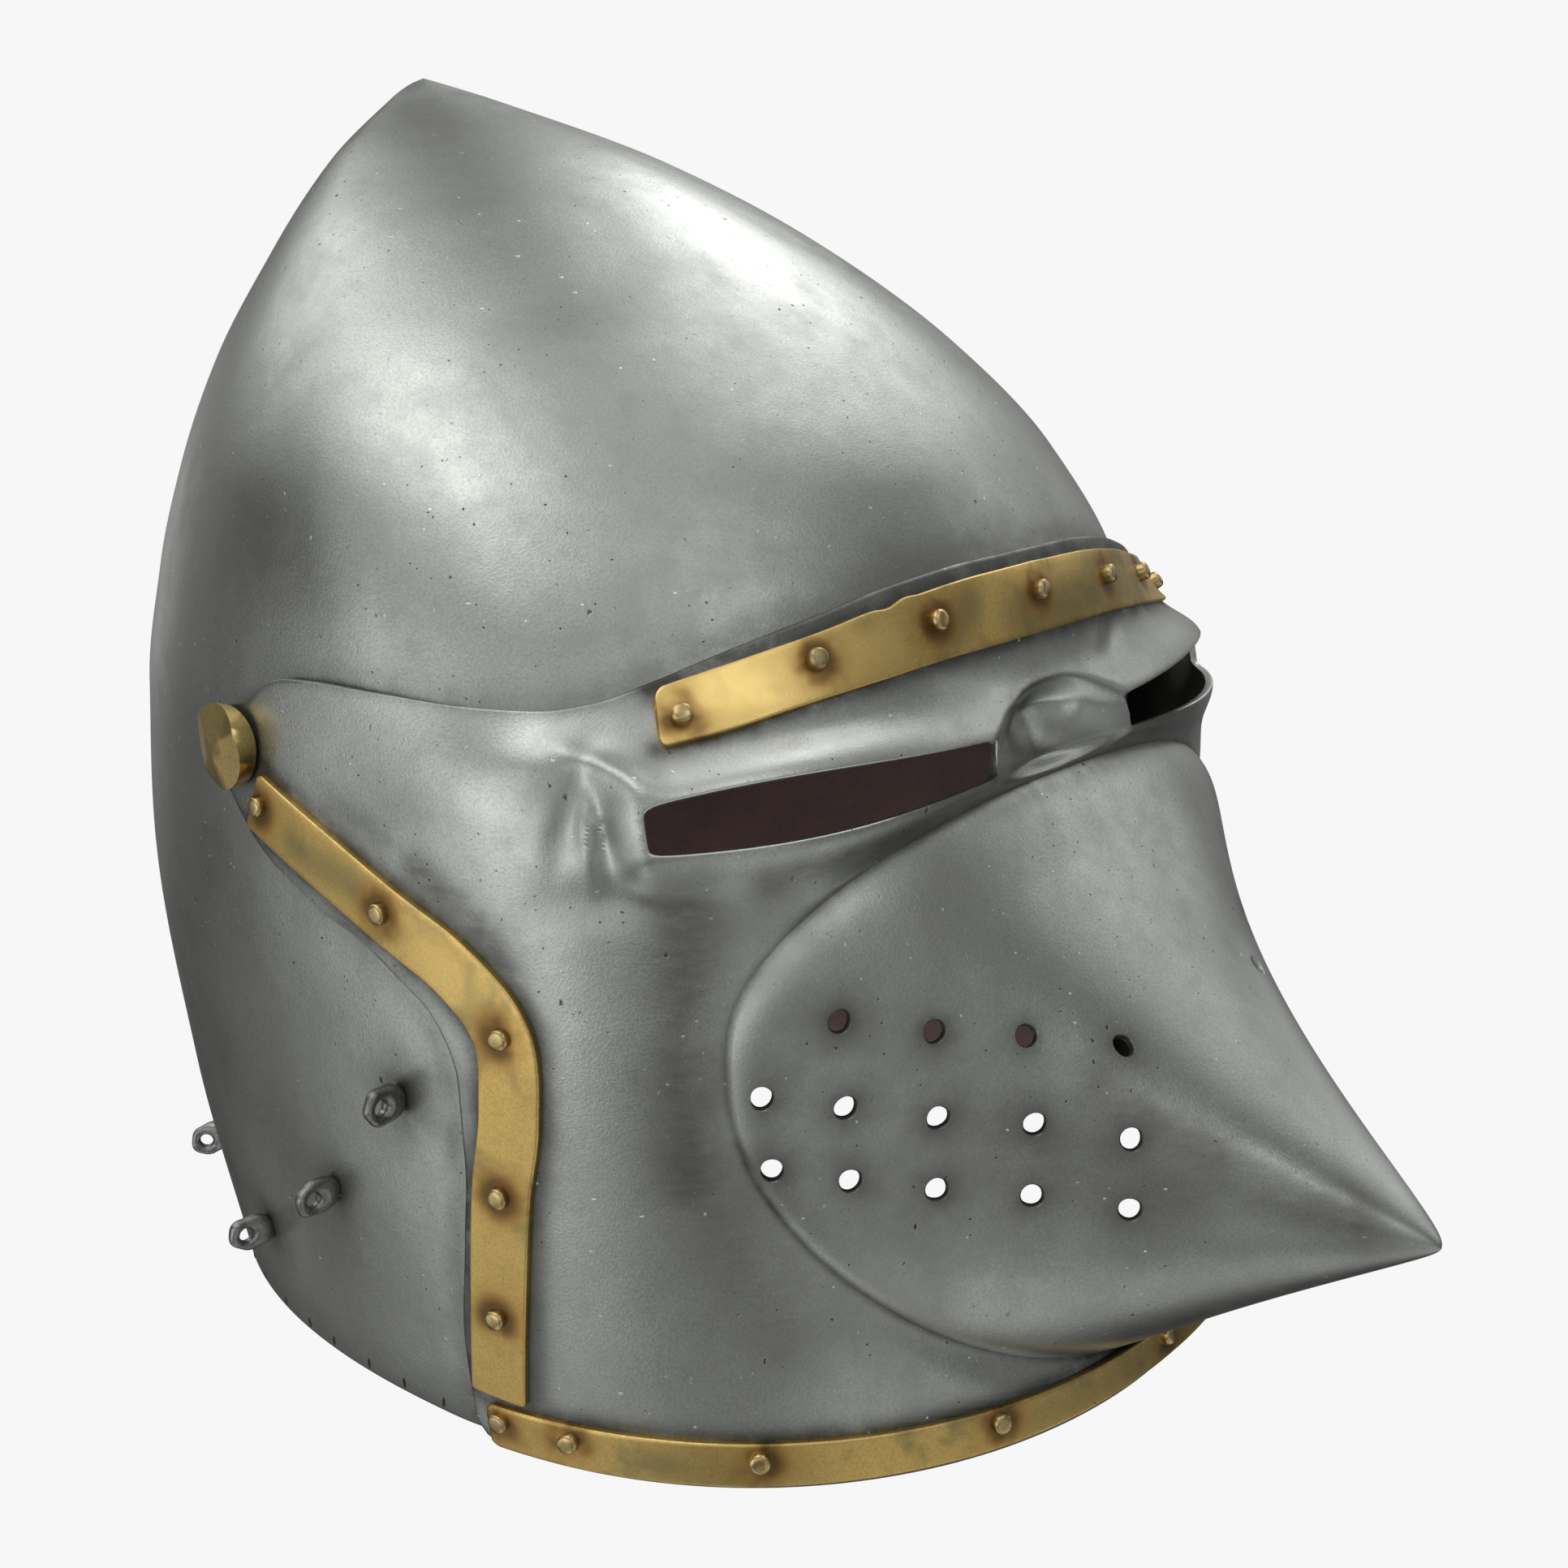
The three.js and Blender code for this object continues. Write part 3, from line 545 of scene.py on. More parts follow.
@dataclass
class VisorSkin(Skin):
    """The visor's outer face: the plate with its raised lips and hammer marks, and the snout."""

    skull: SkullSkin
    clearance: float = 1.2
    wall: float = 1.7
    slit_inner: float = 5.3
    slit_outer: float = 51.2
    lip: float = 4.2
    lip_reach: float = 8.0
    slit_middle: float = 131.5
    seam_height: float = 83.0
    seam_half: float = 92.5
    seam_rise: float = 41.0
    seam_drop: float = 75.0
    seam_upper_power: float = 2.57
    seam_lower_power: float = 2.0
    tip_front: float = -157.0
    tip_height: float = 44.0
    tip_blunt: float = 0.035
    hollow_top: float = 0.1
    hollow_side: float = 0.1
    hollow_bottom: float = 0.02
    bridge_half: float = 26.5
    bridge_top: float = 142.6
    bridge_depth: float = 9.0
    shoulder: float = 3.4
    shoulder_reach: float = 30.0
    groove: float = 1.3
    groove_reach: float = 6.5
    nose_groove: float = 1.9
    curves: dict[str, Curve] = field(init=False)

    def __post_init__(self) -> None:
        """Draws a curve through each column of the visor's sections."""
        self.curves = {name: VISOR_SECTIONS.curve(name) for name in ("front", "half", "power")}

    @property
    def tip(self) -> Array:
        """The snout's very tip."""
        return np.array([0, self.tip_front, self.tip_height])

    def sizes(self, z: Array) -> dict[str, Array]:
        """Joins the visor's own front half to the skull's back half at a clearance.

        Args:
            z: heights.

        Returns:
            The section's sizes there, by their names.
        """
        skull, own = self.skull.sizes(z), {name: curve(z) for name, curve in self.curves.items()}
        return {**skull, "front": own["front"], "half": own["half"], "front_power": own["power"],
                "back": skull["back"] + self.clearance + self.wall}

    def slit_height(self, angle: Array) -> Array:
        """The slit's middle height at an angle in degrees, less a droop by its fourth power."""
        return self.slit_middle - 1.8 * (angle / self.slit_outer) ** 4

    def slit_half(self, angle: Array) -> Array:
        """Half the slit's opening at an angle in degrees: 3.7 and half a sine wave of 1.3."""
        share = (angle - self.slit_inner) / (self.slit_outer - self.slit_inner)
        return 3.7 + 1.3 * np.sin(np.pi * np.clip(share, 0, 1))

    def lips(self, t: Array, z: Array) -> Array:
        """Works out how far the plate is raised round the eye slits.

        The rise falls off as a bell of the distance outside the slits' edges. Between the two
        slits it runs on level, where the nose bridge is then pressed in.

        Args:
            t: angles in radians.
            z: heights.

        Returns:
            The rise in millimetres.
        """
        angle = np.abs(np.degrees(t))
        along = np.clip(angle, self.slit_inner, self.slit_outer)
        beyond = np.where(angle > self.slit_outer, (angle - along) * 1.6, 0)
        above = np.maximum(np.abs(z - self.slit_height(along)) - self.slit_half(along), 0)
        away = np.hypot(beyond, above) / self.lip_reach
        return self.lip * np.exp(-1.6 * away ** 2)

    def bridge(self, points: Array) -> Array:
        """Works out how far the nose bridge is pressed in between the two slits.

        The recess is a trough with an arched upper end. Its two walls meet in a soft crease on the
        midline, and it grows shallow downwards until it ends at the level of the lower lips.

        Args:
            points: places on the plain plate.

        Returns:
            The depth in millimetres.
        """
        across = np.hypot(points[..., 0], 2.2) / self.bridge_half
        arch = self.bridge_top - 6.5 * across ** 2.2
        under = ease(arch - points[..., 2], -1, 5.5)
        side = np.clip(1 - across ** 1.35, 0, 1)
        floor = ease(points[..., 2], 124.6, 127.8) * (0.62 + 0.38 * ease(points[..., 2], 127, 138))
        return np.where(points[..., 1] < 0, self.bridge_depth * under * side * floor, 0)

    def marks(self, points: Array) -> Array:
        """Adds up the hammer marks: each an oval bell in the plate's own plane at its centre.

        Args:
            points: places on the plain plate.

        Returns:
            The rise in millimetres.
        """
        total = np.zeros(points.shape[:-1])
        for angle, height, turn, length, width, rise in HAMMER_MARKS.rows:
            t, z = np.radians(angle), height
            normal = self.outward(t, z)
            across = unit(self.at(t + 1e-3, z) - self.at(t - 1e-3, z))
            up = np.cross(normal, across)
            c, s = np.cos(np.radians(turn)), np.sin(np.radians(turn))
            away = points - self.at(t, z)
            u, v = away @ (across * c + up * s), away @ (up * c - across * s)
            total = total + rise * np.exp(-((u / length) ** 2) - (v / width) ** 2)
        return total

    def raised(self, t: Array, z: Array, lift: Array = 0.0) -> Array:
        """Places a point on the finished plate, or over it.

        Args:
            t: angles in radians.
            z: heights.
            lift: how far over the plate, in millimetres.

        Returns:
            The plain plate's point, moved along its normal by the lips, bridge, marks and lift.
        """
        points = self.at(t, z)
        rise = self.lips(t, z) - self.bridge(points) + self.marks(points) + lift
        return points + self.outward(t, z) * np.asarray(rise)[..., None]

    def angle_across(self, x: Array, z: Array) -> Array:
        """The angle at which the front half is x wide: the section's sine turned round."""
        share = np.minimum(np.abs(x) / self.curves["half"](z), 1)
        return np.sign(x) * np.arcsin(share ** (self.curves["power"](z) / 2))

    def seam_place(self, degrees: Array, side: Array, rounder: Array = 0.0) -> tuple[Array, Array]:
        """Places a point on the snout's seam, an oval seen from the front.

        Args:
            degrees: round the seam from its top (0) down one side to its foot (180).
            side: the sign of X there.
            rounder: how much less than its own power the upper half takes.

        Returns:
            Its angle round the plate in radians, and its height.
        """
        c, s = np.cos(np.radians(degrees)), np.abs(np.sin(np.radians(degrees)))
        power = 2 / np.where(c > 0, self.seam_upper_power - rounder, self.seam_lower_power)
        reach = np.where(c > 0, self.seam_rise, self.seam_drop)
        z = self.seam_height + reach * signed_power(c, power)
        return side * self.angle_across(self.seam_half * s ** power, z), z

    def snout(self, degrees: Array, side: Array, along: Array) -> Array:
        """Places a point of the snout.

        A ray runs from the blunt tip (along 0) to the seam (along 1). Its sides draw in on the way
        as 1 - 2 h (1 - a)(1 + 2a), and its oval grows rounder. Beside the seam the sheet swells
        outwards: at a distance d the swell is (1 - exp(-d / 3.4)) exp(-(d / reach)2).

        Args:
            degrees: round the seam, as in seam_place.
            side: the sign of X there.
            along: the share of the way from the tip to the seam.

        Returns:
            Points in millimetres.
        """
        t, z = self.seam_place(degrees, side, 0.5 * (1 - ease(along, 0.1, 0.85)))
        plain = self.at(t, z)
        outward = self.outward(t, z)
        c = np.cos(np.radians(degrees))
        soft = self.lips(t, z) * (0.35 + 0.65 * ease(along, 0.86, 1.0))
        foot = plain + outward * (soft - self.groove_depth(degrees, 0.0))[..., None]
        hollow = self.hollow_side + (
            np.where(c > 0, self.hollow_top, self.hollow_bottom) - self.hollow_side) * c * c
        spread = along * (1 - 2 * hollow * (1 - along) * (1 + 2 * along))
        b = self.tip_blunt
        back = (np.hypot(along, b) - b) / (np.hypot(1, b) - b)
        share = np.stack(np.broadcast_arrays(spread, back, spread), -1)
        away = (1 - along) * np.linalg.norm(foot - self.tip, axis=-1)
        swell = self.shoulder * (1 - np.exp(-away / 3.4)) * bell(away, self.shoulder_reach)
        swell = swell * (1 - np.where(c > 0, 0.45, 0.55) * c * c)
        return self.tip + (foot - self.tip) * share + outward * swell[..., None]

    def on_snout(self, degrees: Array, along: Array) -> Array:
        """The snout's point at degrees round the seam, negative on the right side."""
        return self.snout(np.abs(degrees), np.sign(degrees), along)

    def groove_depth(self, degrees: Array, away: Array) -> Array:
        """How far the plate sinks towards the seam at a distance from it, most under the nose."""
        nose = self.nose_groove * np.maximum(np.cos(np.radians(degrees)), 0) ** 4
        return self.groove * bell(away, self.groove_reach) + nose * bell(away, 3.0)


def clouds(points: Array, *drawn: tuple[Table, Callable[[Array, Array], Array]]) -> Array:
    """Lays soft clouds on a plate, each a bell of the distance to a short line on it.

    Args:
        points: places in millimetres.
        drawn: tables of clouds, each with the method that turns its places into points.

    Returns:
        How strong the strongest cloud is at each place, from 0 to 1.
    """
    total = np.zeros(len(points))
    share = np.linspace(0, 1, 24)
    for table, place in drawn:
        for first, second, to_first, to_second, reach, strength in table.rows:
            line = place(first + (to_first - first) * share, second + (to_second - second) * share)
            total = np.maximum(total, strength * bell(nearest(points, line), reach))
    return total


class Builder:
    """Turns grids of points in millimetres into Blender objects in metres."""

    @staticmethod
    def tube_faces(rows: int, columns: int, ring: bool = False) -> list:
        """Lists the quads of a grid that closes on itself round its columns.

        Args:
            rows: how many rings it has.
            columns: how many points a ring has.
            ring: whether the last ring meets the first again.

        Returns:
            The corners of each quad.
        """
        last = rows if ring else rows - 1
        r, k = np.meshgrid(np.arange(last), np.arange(columns), indexing="ij")
        here, beside = r * columns + k, r * columns + (k + 1) % columns
        quads = np.stack([here, beside, beside + columns, here + columns], -1)
        return (quads.reshape(-1, 4) % (rows * columns)).tolist()

    @classmethod
    def closed(cls, rows: Array, first: Array, last: Array) -> Form:
        """Closes a tube of rings with a pole at each end.

        Args:
            rows: the rings, (rows, columns, 3).
            first: the pole before the first ring.
            last: the pole after the last ring.

        Returns:
            The points, and the faces as lists of corners.
        """
        count, n = rows.shape[:2]
        points = np.vstack([rows.reshape(-1, 3), first, last])
        k = np.arange(n)
        beside = (k + 1) % n
        start = np.stack([np.full(n, count * n), beside, k], -1)
        end = np.stack([np.full(n, count * n + 1), k, beside], -1)
        end[:, 1:] += (count - 1) * n
        return points, cls.tube_faces(count, n) + start.tolist() + end.tolist()

    @staticmethod
    def volume(points: Array, faces: list) -> float:
        """Sums the cones from a closed mesh's faces to the origin.

        Args:
            points: its points, (n, 3).
            faces: lists of corners.

        Returns:
            Its volume, negative where its faces point inwards.
        """
        corners = np.array([[f[0], f[i], f[i + 1]] for f in faces for i in range(1, len(f) - 1)])
        a, b, c = (points[corners[:, k]] for k in range(3))
        return float((a * np.cross(b, c)).sum() / 6)

    @classmethod
    def outwards(cls, points: Array, faces: list) -> list:
        """A closed mesh's faces, turned round where they point inwards."""
        return faces if cls.volume(points, faces) >= 0 else [face[::-1] for face in faces]

    @staticmethod
    def linked(name: str, data: bpy.types.ID) -> Piece:
        """Puts a new object in the scene.

        Args:
            name: its name.
            data: its mesh or camera.

        Returns:
            The object, at the origin.
        """
        made = bpy.data.objects.new(name, data)
        bpy.context.scene.collection.objects.link(made)
        return made

    @classmethod
    def piece(cls, name: str, points: Array, faces: list, sharp: float = 40.0) -> Piece:
        """Makes one closed piece whose faces point outwards.

        Args:
            name: the object's name.
            points: its points in millimetres.
            faces: lists of corners.
            sharp: edges that turn by more than this many degrees are shaded sharp.

        Returns:
            The new object, at the origin.
        """
        mesh = bpy.data.meshes.new(name)
        mesh.from_pydata((points * MM).tolist(), [], cls.outwards(points, faces))
        made = cls.linked(name, mesh)
        cls.smooth(made, sharp)
        return made

    @staticmethod
    def smooth(piece: Piece, sharp: float) -> None:
        """Shades a piece smooth, apart from edges that turn by more than an angle in degrees."""
        piece.data.shade_smooth()
        piece.data.set_sharp_from_angle(angle=np.radians(sharp))

    @staticmethod
    def joined(parts: Sequence[Form]) -> Form:
        """Puts several closed forms into one.

        Args:
            parts: each form's points and faces.

        Returns:
            The points and faces of all of them.
        """
        points, faces, first = [], [], 0
        for part_points, part_faces in parts:
            points.append(part_points)
            faces += [[corner + first for corner in face] for face in part_faces]
            first += len(part_points)
        return np.vstack(points), faces

    @classmethod
    def cut(cls, piece: Piece, cutters: Sequence[Form], sharp: float = 40.0) -> None:
        """Cuts closed forms out of a piece and keeps the result as its mesh.

        Args:
            piece: the object to cut.
            cutters: closed forms as points and faces, none of which meets another.
            sharp: as in piece().
        """
        tool = cls.piece("cutter", *cls.joined([(p, cls.outwards(p, f)) for p, f in cutters]))
        cutting = piece.modifiers.new("cut", "BOOLEAN")
        cutting.operation = "DIFFERENCE"
        cutting.solver = "MANIFOLD"
        cutting.object = tool
        bpy.context.view_layer.update()
        evaluated = piece.evaluated_get(bpy.context.evaluated_depsgraph_get())
        made = bpy.data.meshes.new_from_object(evaluated)
        piece.modifiers.clear()
        spent = (piece.data, tool.data)
        piece.data = made
        bpy.data.objects.remove(tool)
        for mesh in spent:
            bpy.data.meshes.remove(mesh)
        made.name = piece.name
        cls.smooth(piece, sharp)

    @staticmethod
    def points_of(piece: Piece) -> Array:
        """Reads a piece's points.

        Args:
            piece: the object.

        Returns:
            Its points in millimetres, (n, 3).
        """
        flat = np.empty(len(piece.data.vertices) * 3, np.float32)
        piece.data.vertices.foreach_get("co", flat)
        return flat.reshape(-1, 3).astype(float) / MM

    @staticmethod
    def shade(piece: Piece, name: str, values: Array) -> None:
        """Writes one number for each point as an attribute that the finish reads."""
        attribute = piece.data.attributes.new(name, "FLOAT", "POINT")
        attribute.data.foreach_set("value", np.asarray(values, np.float32))

    @staticmethod
    def hand_over(piece: Piece, body: str, slot: str, material: Material,
                  nodes: Sequence[str] = ()) -> Piece:
        """Gives a piece its finish and its body, and hides the frame's nodes it stands for.

        Args:
            piece: the finished object.
            body: the body it moves with.
            slot: the record's material slot; not used.
            material: its finish.
            nodes: the frame's nodes it replaces.

        Returns:
            The same object.
        """
        piece.data.materials.clear()
        piece.data.materials.append(material)
        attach(piece, body)
        if nodes:
            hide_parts(*nodes)
        log.info("%s: %d points on body %s", piece.name, len(piece.data.vertices), body)
        return piece


def grid_normals(rows: Array, before: Array) -> Array:
    """Unit normals of a ringed grid, from each point's neighbours round its ring and along it.

    Args:
        rows: the rings, (rows, columns, 3).
        before: the pole before the first ring.

    Returns:
        Normals of the same shape; their sign follows the grid's winding.
    """
    around = np.roll(rows, -1, 1) - np.roll(rows, 1, 1)
    earlier = np.concatenate([np.broadcast_to(before, rows[:1].shape), rows[:-1]])
    later = np.concatenate([rows[1:], rows[-1:]])
    return unit(np.cross(later - earlier, around))


def rolled_rim(edge: Array, heading: Array, normal: Array, wall: float, steps: int = 6) -> Array:
    """Rounds a plate's edge over from its outer face to its inner face.

    The rim is half a circle as wide as the wall, drawn between the edge's heading and its normal.

    Args:
        edge: the ring where the outer face ends, (columns, 3).
        heading: unit vectors that point off the plate at the edge.
        normal: outward unit normals there.
        wall: the plate's thickness.
        steps: how many rings the half circle has.

    Returns:
        The rim's rings, (steps, columns, 3).
    """
    turn = np.linspace(0, np.pi, steps + 2)[1:-1, None, None]
    middle = edge - normal * wall / 2
    return middle + (normal * np.cos(turn) + heading * np.sin(turn)) * wall / 2


def bar_through(outline: Array, half: float) -> Form:
    """Carries a closed outline in the Y-Z plane through the helmet along X.

    Args:
        outline: its points as Y and Z, (n, 2).
        half: how far it reaches to each side.

    Returns:
        Points and faces of a closed bar.
    """
    n = len(outline)
    ends = [np.column_stack([np.full(n, x), outline]) for x in (-half, half)]
    caps = [list(range(n))[::-1], list(range(n, 2 * n))]
    return np.vstack(ends), Builder.tube_faces(2, n) + caps


def pivot_drill() -> Form:
    """The round bar that drills both pivot holes: 24 points round a circle, carried along X."""
    turn = turns(24)
    return bar_through(PIVOT + PIVOT_HOLE * np.column_stack([np.cos(turn), np.sin(turn)]), 125)


@dataclass
class FaceOpening:
    """The opening in the skull for the face: upright behind the cheeks and arched over the brow."""

    back: float = -30.0
    shoulder: float = 112.0
    arch_back: float = -62.0
    top: float = 157.0
    pull_up: float = 28.0
    pull_back: float = 18.0
    reach: float = -140.0
    foot: float = -5.0
    half: float = 130.0

    def bar(self, margin: float = 0.0) -> Form:
        """Makes the bar that cuts the opening.

        Its arch is one cubic Bezier stretch from the upright edge to the brow.

        Args:
            margin: how much larger than the opening it is.

        Returns:
            Points and faces of the bar.
        """
        back, top = self.back + margin, self.top + margin
        corners = np.array([(back, self.shoulder), (back, self.shoulder + self.pull_up),
                            (self.arch_back + self.pull_back, top), (self.arch_back, top)])
        s = np.linspace(0, 1, 20)[:, None]
        weights = np.hstack([(1 - s) ** 3, 3 * s * (1 - s) ** 2, 3 * s * s * (1 - s), s ** 3])
        arch = (weights @ corners).tolist()
        outline = [(self.reach, self.foot), (back, self.foot), *arch, (self.reach, top)]
        return bar_through(np.array(outline), self.half)


@dataclass
class SkullPlate:
    """The skull: one steel plate drawn up to a point, its hem edge rolled round."""

    skin: SkullSkin
    opening: FaceOpening
    wall: float = 1.8
    columns: int = 288
    rows: int = 150
    inner_rows: int = 54
    inner_top: float = 256.0

    def build(self) -> Piece:
        """Builds the closed shell and cuts the face opening and the pivot holes.

        Heights crowd towards the point as 1 - (1 - s) to the power 1.6.

        Returns:
            The skull's object.
        """
        s = np.linspace(0, 1, self.rows + 1)[:-1]
        hem = self.wall / 2
        heights = hem + (self.skin.top - hem) * (1 - (1 - s) ** 1.6)
        inner_heights = np.linspace(hem, self.inner_top, self.inner_rows)
        rows = self.skin.shell(self.columns, heights, inner_heights, 0.0, self.wall)
        first = self.skin.at(0, self.skin.top)
        last = rows[-1].mean(0) + 1.2 * UP
        made = Builder.piece("skull_plate", *Builder.closed(rows, first, last))
        Builder.cut(made, [self.opening.bar(), pivot_drill()])
        return made

    def dress(self, made: Piece, material: Material, loops: Array,
              visor_edge: Array) -> None:
        """Darkens the skull by its loops and hem, paints shade on it, and hands it over.

        Args:
            made: the skull's object.
            material: its finish.
            loops: the feet of the neck loops.
            visor_edge: points on the skull where the visor's edge lies.
        """
        points = Builder.points_of(made)
        # Darker round the loops' feet and towards the hem.
        grime_and_shade = 0.9 * bell(nearest(points, loops), 8) + 0.4 * (1 - ease(points[:, 2], 1.5, 14))
        # Painted shadow along where the visor's edge lies.
        grime_and_shade += 0.4 * bell(nearest(points, visor_edge), 3.6)
        Builder.shade(made, "grime_and_shade", np.clip(grime_and_shade, 0, 1))
        Builder.shade(made, "worn", 0.3 * bell(self.skin.top - points[:, 2], 5))
        # Clouds of painted shade and dark reflections, with stains.
        Builder.shade(made, "cloud", clouds(points, (SKULL_SHADE_AND_STAIN, self.skin.on)))
        Builder.hand_over(made, "skull", "steel", material, ["skull"])


@dataclass
class Lining:
    """The skull's twill lining, held just inside the steel, with its rolled edge at the hem."""

    skin: SkullSkin
    opening: FaceOpening
    outset: float = 2.45
    wall: float = 2.2
    hem: float = 2.0
    top: float = 232.0
    inner_top: float = 227.0
    cut_back: float = 3.0
    columns: int = 160
    rows: int = 70

    def build(self) -> Piece:
        """Builds the lining's shell and cuts the face opening, a little larger than the steel's.

        Returns:
            The lining's object.
        """
        foot = self.hem + self.wall / 2
        heights = np.linspace(foot, self.top, self.rows)
        inner_heights = np.linspace(foot, self.inner_top, self.rows)
        rows = self.skin.shell(self.columns, heights, inner_heights, self.outset, self.wall)
        first, last = rows[0].mean(0) + UP, rows[-1].mean(0) + 0.6 * UP
        made = Builder.piece("lining_cloth", *Builder.closed(rows, first, last))
        Builder.cut(made, [self.opening.bar(self.cut_back)])
        return made

    def dress(self, made: Piece, material: Material) -> None:
        """Lays the twill's own coordinates over the cloth and hands it over.

        The first coordinate is the angle round the helmet times 100 mm, and the second the height.

        Args:
            made: the lining's object.
            material: its finish.
        """
        mesh = made.data
        points = Builder.points_of(made)
        corner = np.empty(len(mesh.loops), np.int32)
        mesh.loops.foreach_get("vertex_index", corner)
        place = points[corner]
        angle = np.arctan2(place[:, 0], 40 - place[:, 1])
        cloth = np.column_stack([angle * 100, place[:, 2]]).astype(np.float32)
        mesh.uv_layers.new(name="cloth").data.foreach_set("uv", cloth.ravel())
        Builder.hand_over(made, "skull", "lining", material, ["lining"])


@dataclass
class VisorPlate:
    """The visor: plate and snout in one steel sheet, pierced with eye slits and breaths."""

    skin: VisorSkin
    columns: int = 210
    snout_rows: int = 63
    seam_rows: int = 20
    seam_start: float = 0.84
    plate_rows: int = 76
    inner_first: int = 24
    inner_step: int = 3
    sharp: float = 32.0
    breath_radius: float = 2.1
    rim_flare: float = 0.5
    slit_depth: float = 6.0
    slit_end_power: float = 26.0
    slit_side_power: float = 11.0
    pin_reach: float = 116.2

    def loop(self, count: int) -> tuple[Array, Array, Array, Array]:
        """Spaces columns round the visor's outline, closer together at the brow's middle.

        Args:
            count: how many columns one half has.

        Returns:
            Each column's edge angle in radians, edge height, seam angle in degrees, and side.
        """
        angle, height, seam = (VISOR_OUTLINE.column(c) for c in ("angle", "height", "seam"))
        length = run_length(np.column_stack([angle * 1.7, height]))
        s = np.linspace(0, 1, count + 1)
        along = length[-1] * (0.8 * s + 0.2 * s ** 2.2)
        near = [Curve(length, values)(along) for values in (angle, height, seam)]
        both = [np.concatenate([values, values[-2:0:-1]]) for values in near]
        side = np.concatenate([np.ones(count + 1), -np.ones(count - 1)])
        return side * np.radians(both[0]), both[1], both[2], side

    def face(self, snout_along: Array, plate_share: Array) -> Array:
        """Works out the visor's face as rings from the tip to the outline.

        Args:
            snout_along: the snout's rings, as shares of the way from the tip to the seam.
            plate_share: the plate's rings, as shares of the way from the seam to the outline.

        Returns:
            Rings of points, (rows, columns, 3).
        """
        edge_t, edge_z, seam, side = self.loop(self.columns)
        snout = self.skin.snout(seam, side, snout_along[:, None])
        foot_t, foot_z = self.skin.seam_place(seam, side)
        share = plate_share[:, None]
        plate_t, plate_z = foot_t + (edge_t - foot_t) * share, foot_z + (edge_z - foot_z) * share
        step = self.skin.at(plate_t, plate_z) - self.skin.at(foot_t, foot_z)
        sunk = self.skin.groove_depth(seam, np.linalg.norm(step, axis=-1))
        return np.concatenate([snout, self.skin.raised(plate_t, plate_z, -sunk)])

    @staticmethod
    def inward_sign(rows: Array, normal: Array) -> float:
        """The sign that turns a grid's normals inwards, read from its ring nearest the tip."""
        ring = rows[8]
        return float(np.sign(((ring.mean(0) - ring) * normal[8]).sum()))

    def build(self) -> Piece:
        """Builds the closed shell with a rolled edge, then cuts the slits, breaths and pivot holes.

        Returns:
            The visor's object.
        """
        s = np.linspace(0, 1, self.snout_rows + 1)[1:]
        close = np.linspace(0, 1, self.seam_rows + 1)[1:] ** 0.8
        along = np.concatenate([self.seam_start * s ** 1.35,
                                self.seam_start + (1 - self.seam_start) * close])
        share = np.linspace(0, 1, self.plate_rows + 1)[1:] ** 1.25
        outer = self.face(along, share)
        normal = grid_normals(outer, self.skin.tip)
        inward = normal * self.inward_sign(outer, normal)
        heading = unit(outer[-1] - outer[-2])
        wall = self.skin.wall
        outer[-1] -= heading * wall / 2
        rim = rolled_rim(outer[-1], heading, -inward[-1], wall)
        edge_inner = outer[-1] + inward[-1] * wall
        keep = np.concatenate([np.arange(self.inner_first, len(along), self.inner_step),
                               len(along) + np.arange(2, self.plate_rows - 2, self.inner_step)])
        inner = (outer + inward * wall)[keep][::-1]
        rows = np.concatenate([outer, rim, edge_inner[None], inner])
        rows[len(outer):, :, 2] = np.maximum(rows[len(outer):, :, 2], 0)
        pole = inner[-1].mean(0) + np.array([0, -1.5, 0])
        made = Builder.piece("visor_plate", *Builder.closed(rows, self.skin.tip, pole), self.sharp)
        cutters = [self.slit_cutter(side) for side in Side]
        cutters += [self.breath_cutter(side, *row) for side in Side for row in BREATHS.rows]
        Builder.cut(made, [*cutters, pivot_drill()], self.sharp)
        return made

    def slit_ring(self, side: Side, grow: float, lift: float, steps: int = 120) -> Array:
        """Draws the slit's outline on the plate, with round corners and points evenly along it.

        The upper half is an oval of a high power in the slit's length and a lower one in its
        height, read off at even lengths, and the lower half mirrors it.

        Args:
            side: which slit.
            grow: how much larger than the slit it is.
            lift: how far over the plate.
            steps: how many points half of it has.

        Returns:
            Points round the slit, (2 * steps, 3).
        """
        turn = np.linspace(0.0005, np.pi - 0.0005, 6000)
        u = signed_power(np.cos(turn), 2 / self.slit_end_power)
        v = signed_power(np.sin(turn), 2 / self.slit_side_power)
        run = run_length(np.column_stack([u * 40, v * 4.5]))
        stops = (np.arange(steps) + 0.5) * run[-1] / steps
        u, v = np.interp(stops, run, u), np.interp(stops, run, v)
        u, v = np.concatenate([u, u[::-1]]), np.concatenate([v, -v[::-1]])
        power = self.skin.curves["power"](self.skin.slit_middle)
        near, far = (np.sin(np.radians(end)) ** (2 / power) + out * grow / 116
                     for end, out in ((self.skin.slit_inner, -1), (self.skin.slit_outer, 1)))
        across = near + (far - near) * (u + 1) / 2
        angle = np.degrees(np.arcsin(across ** (power / 2)))
        z = self.skin.slit_height(angle) + v * (self.skin.slit_half(angle) + grow)
        return self.skin.raised(side.value * np.radians(angle), z, lift)

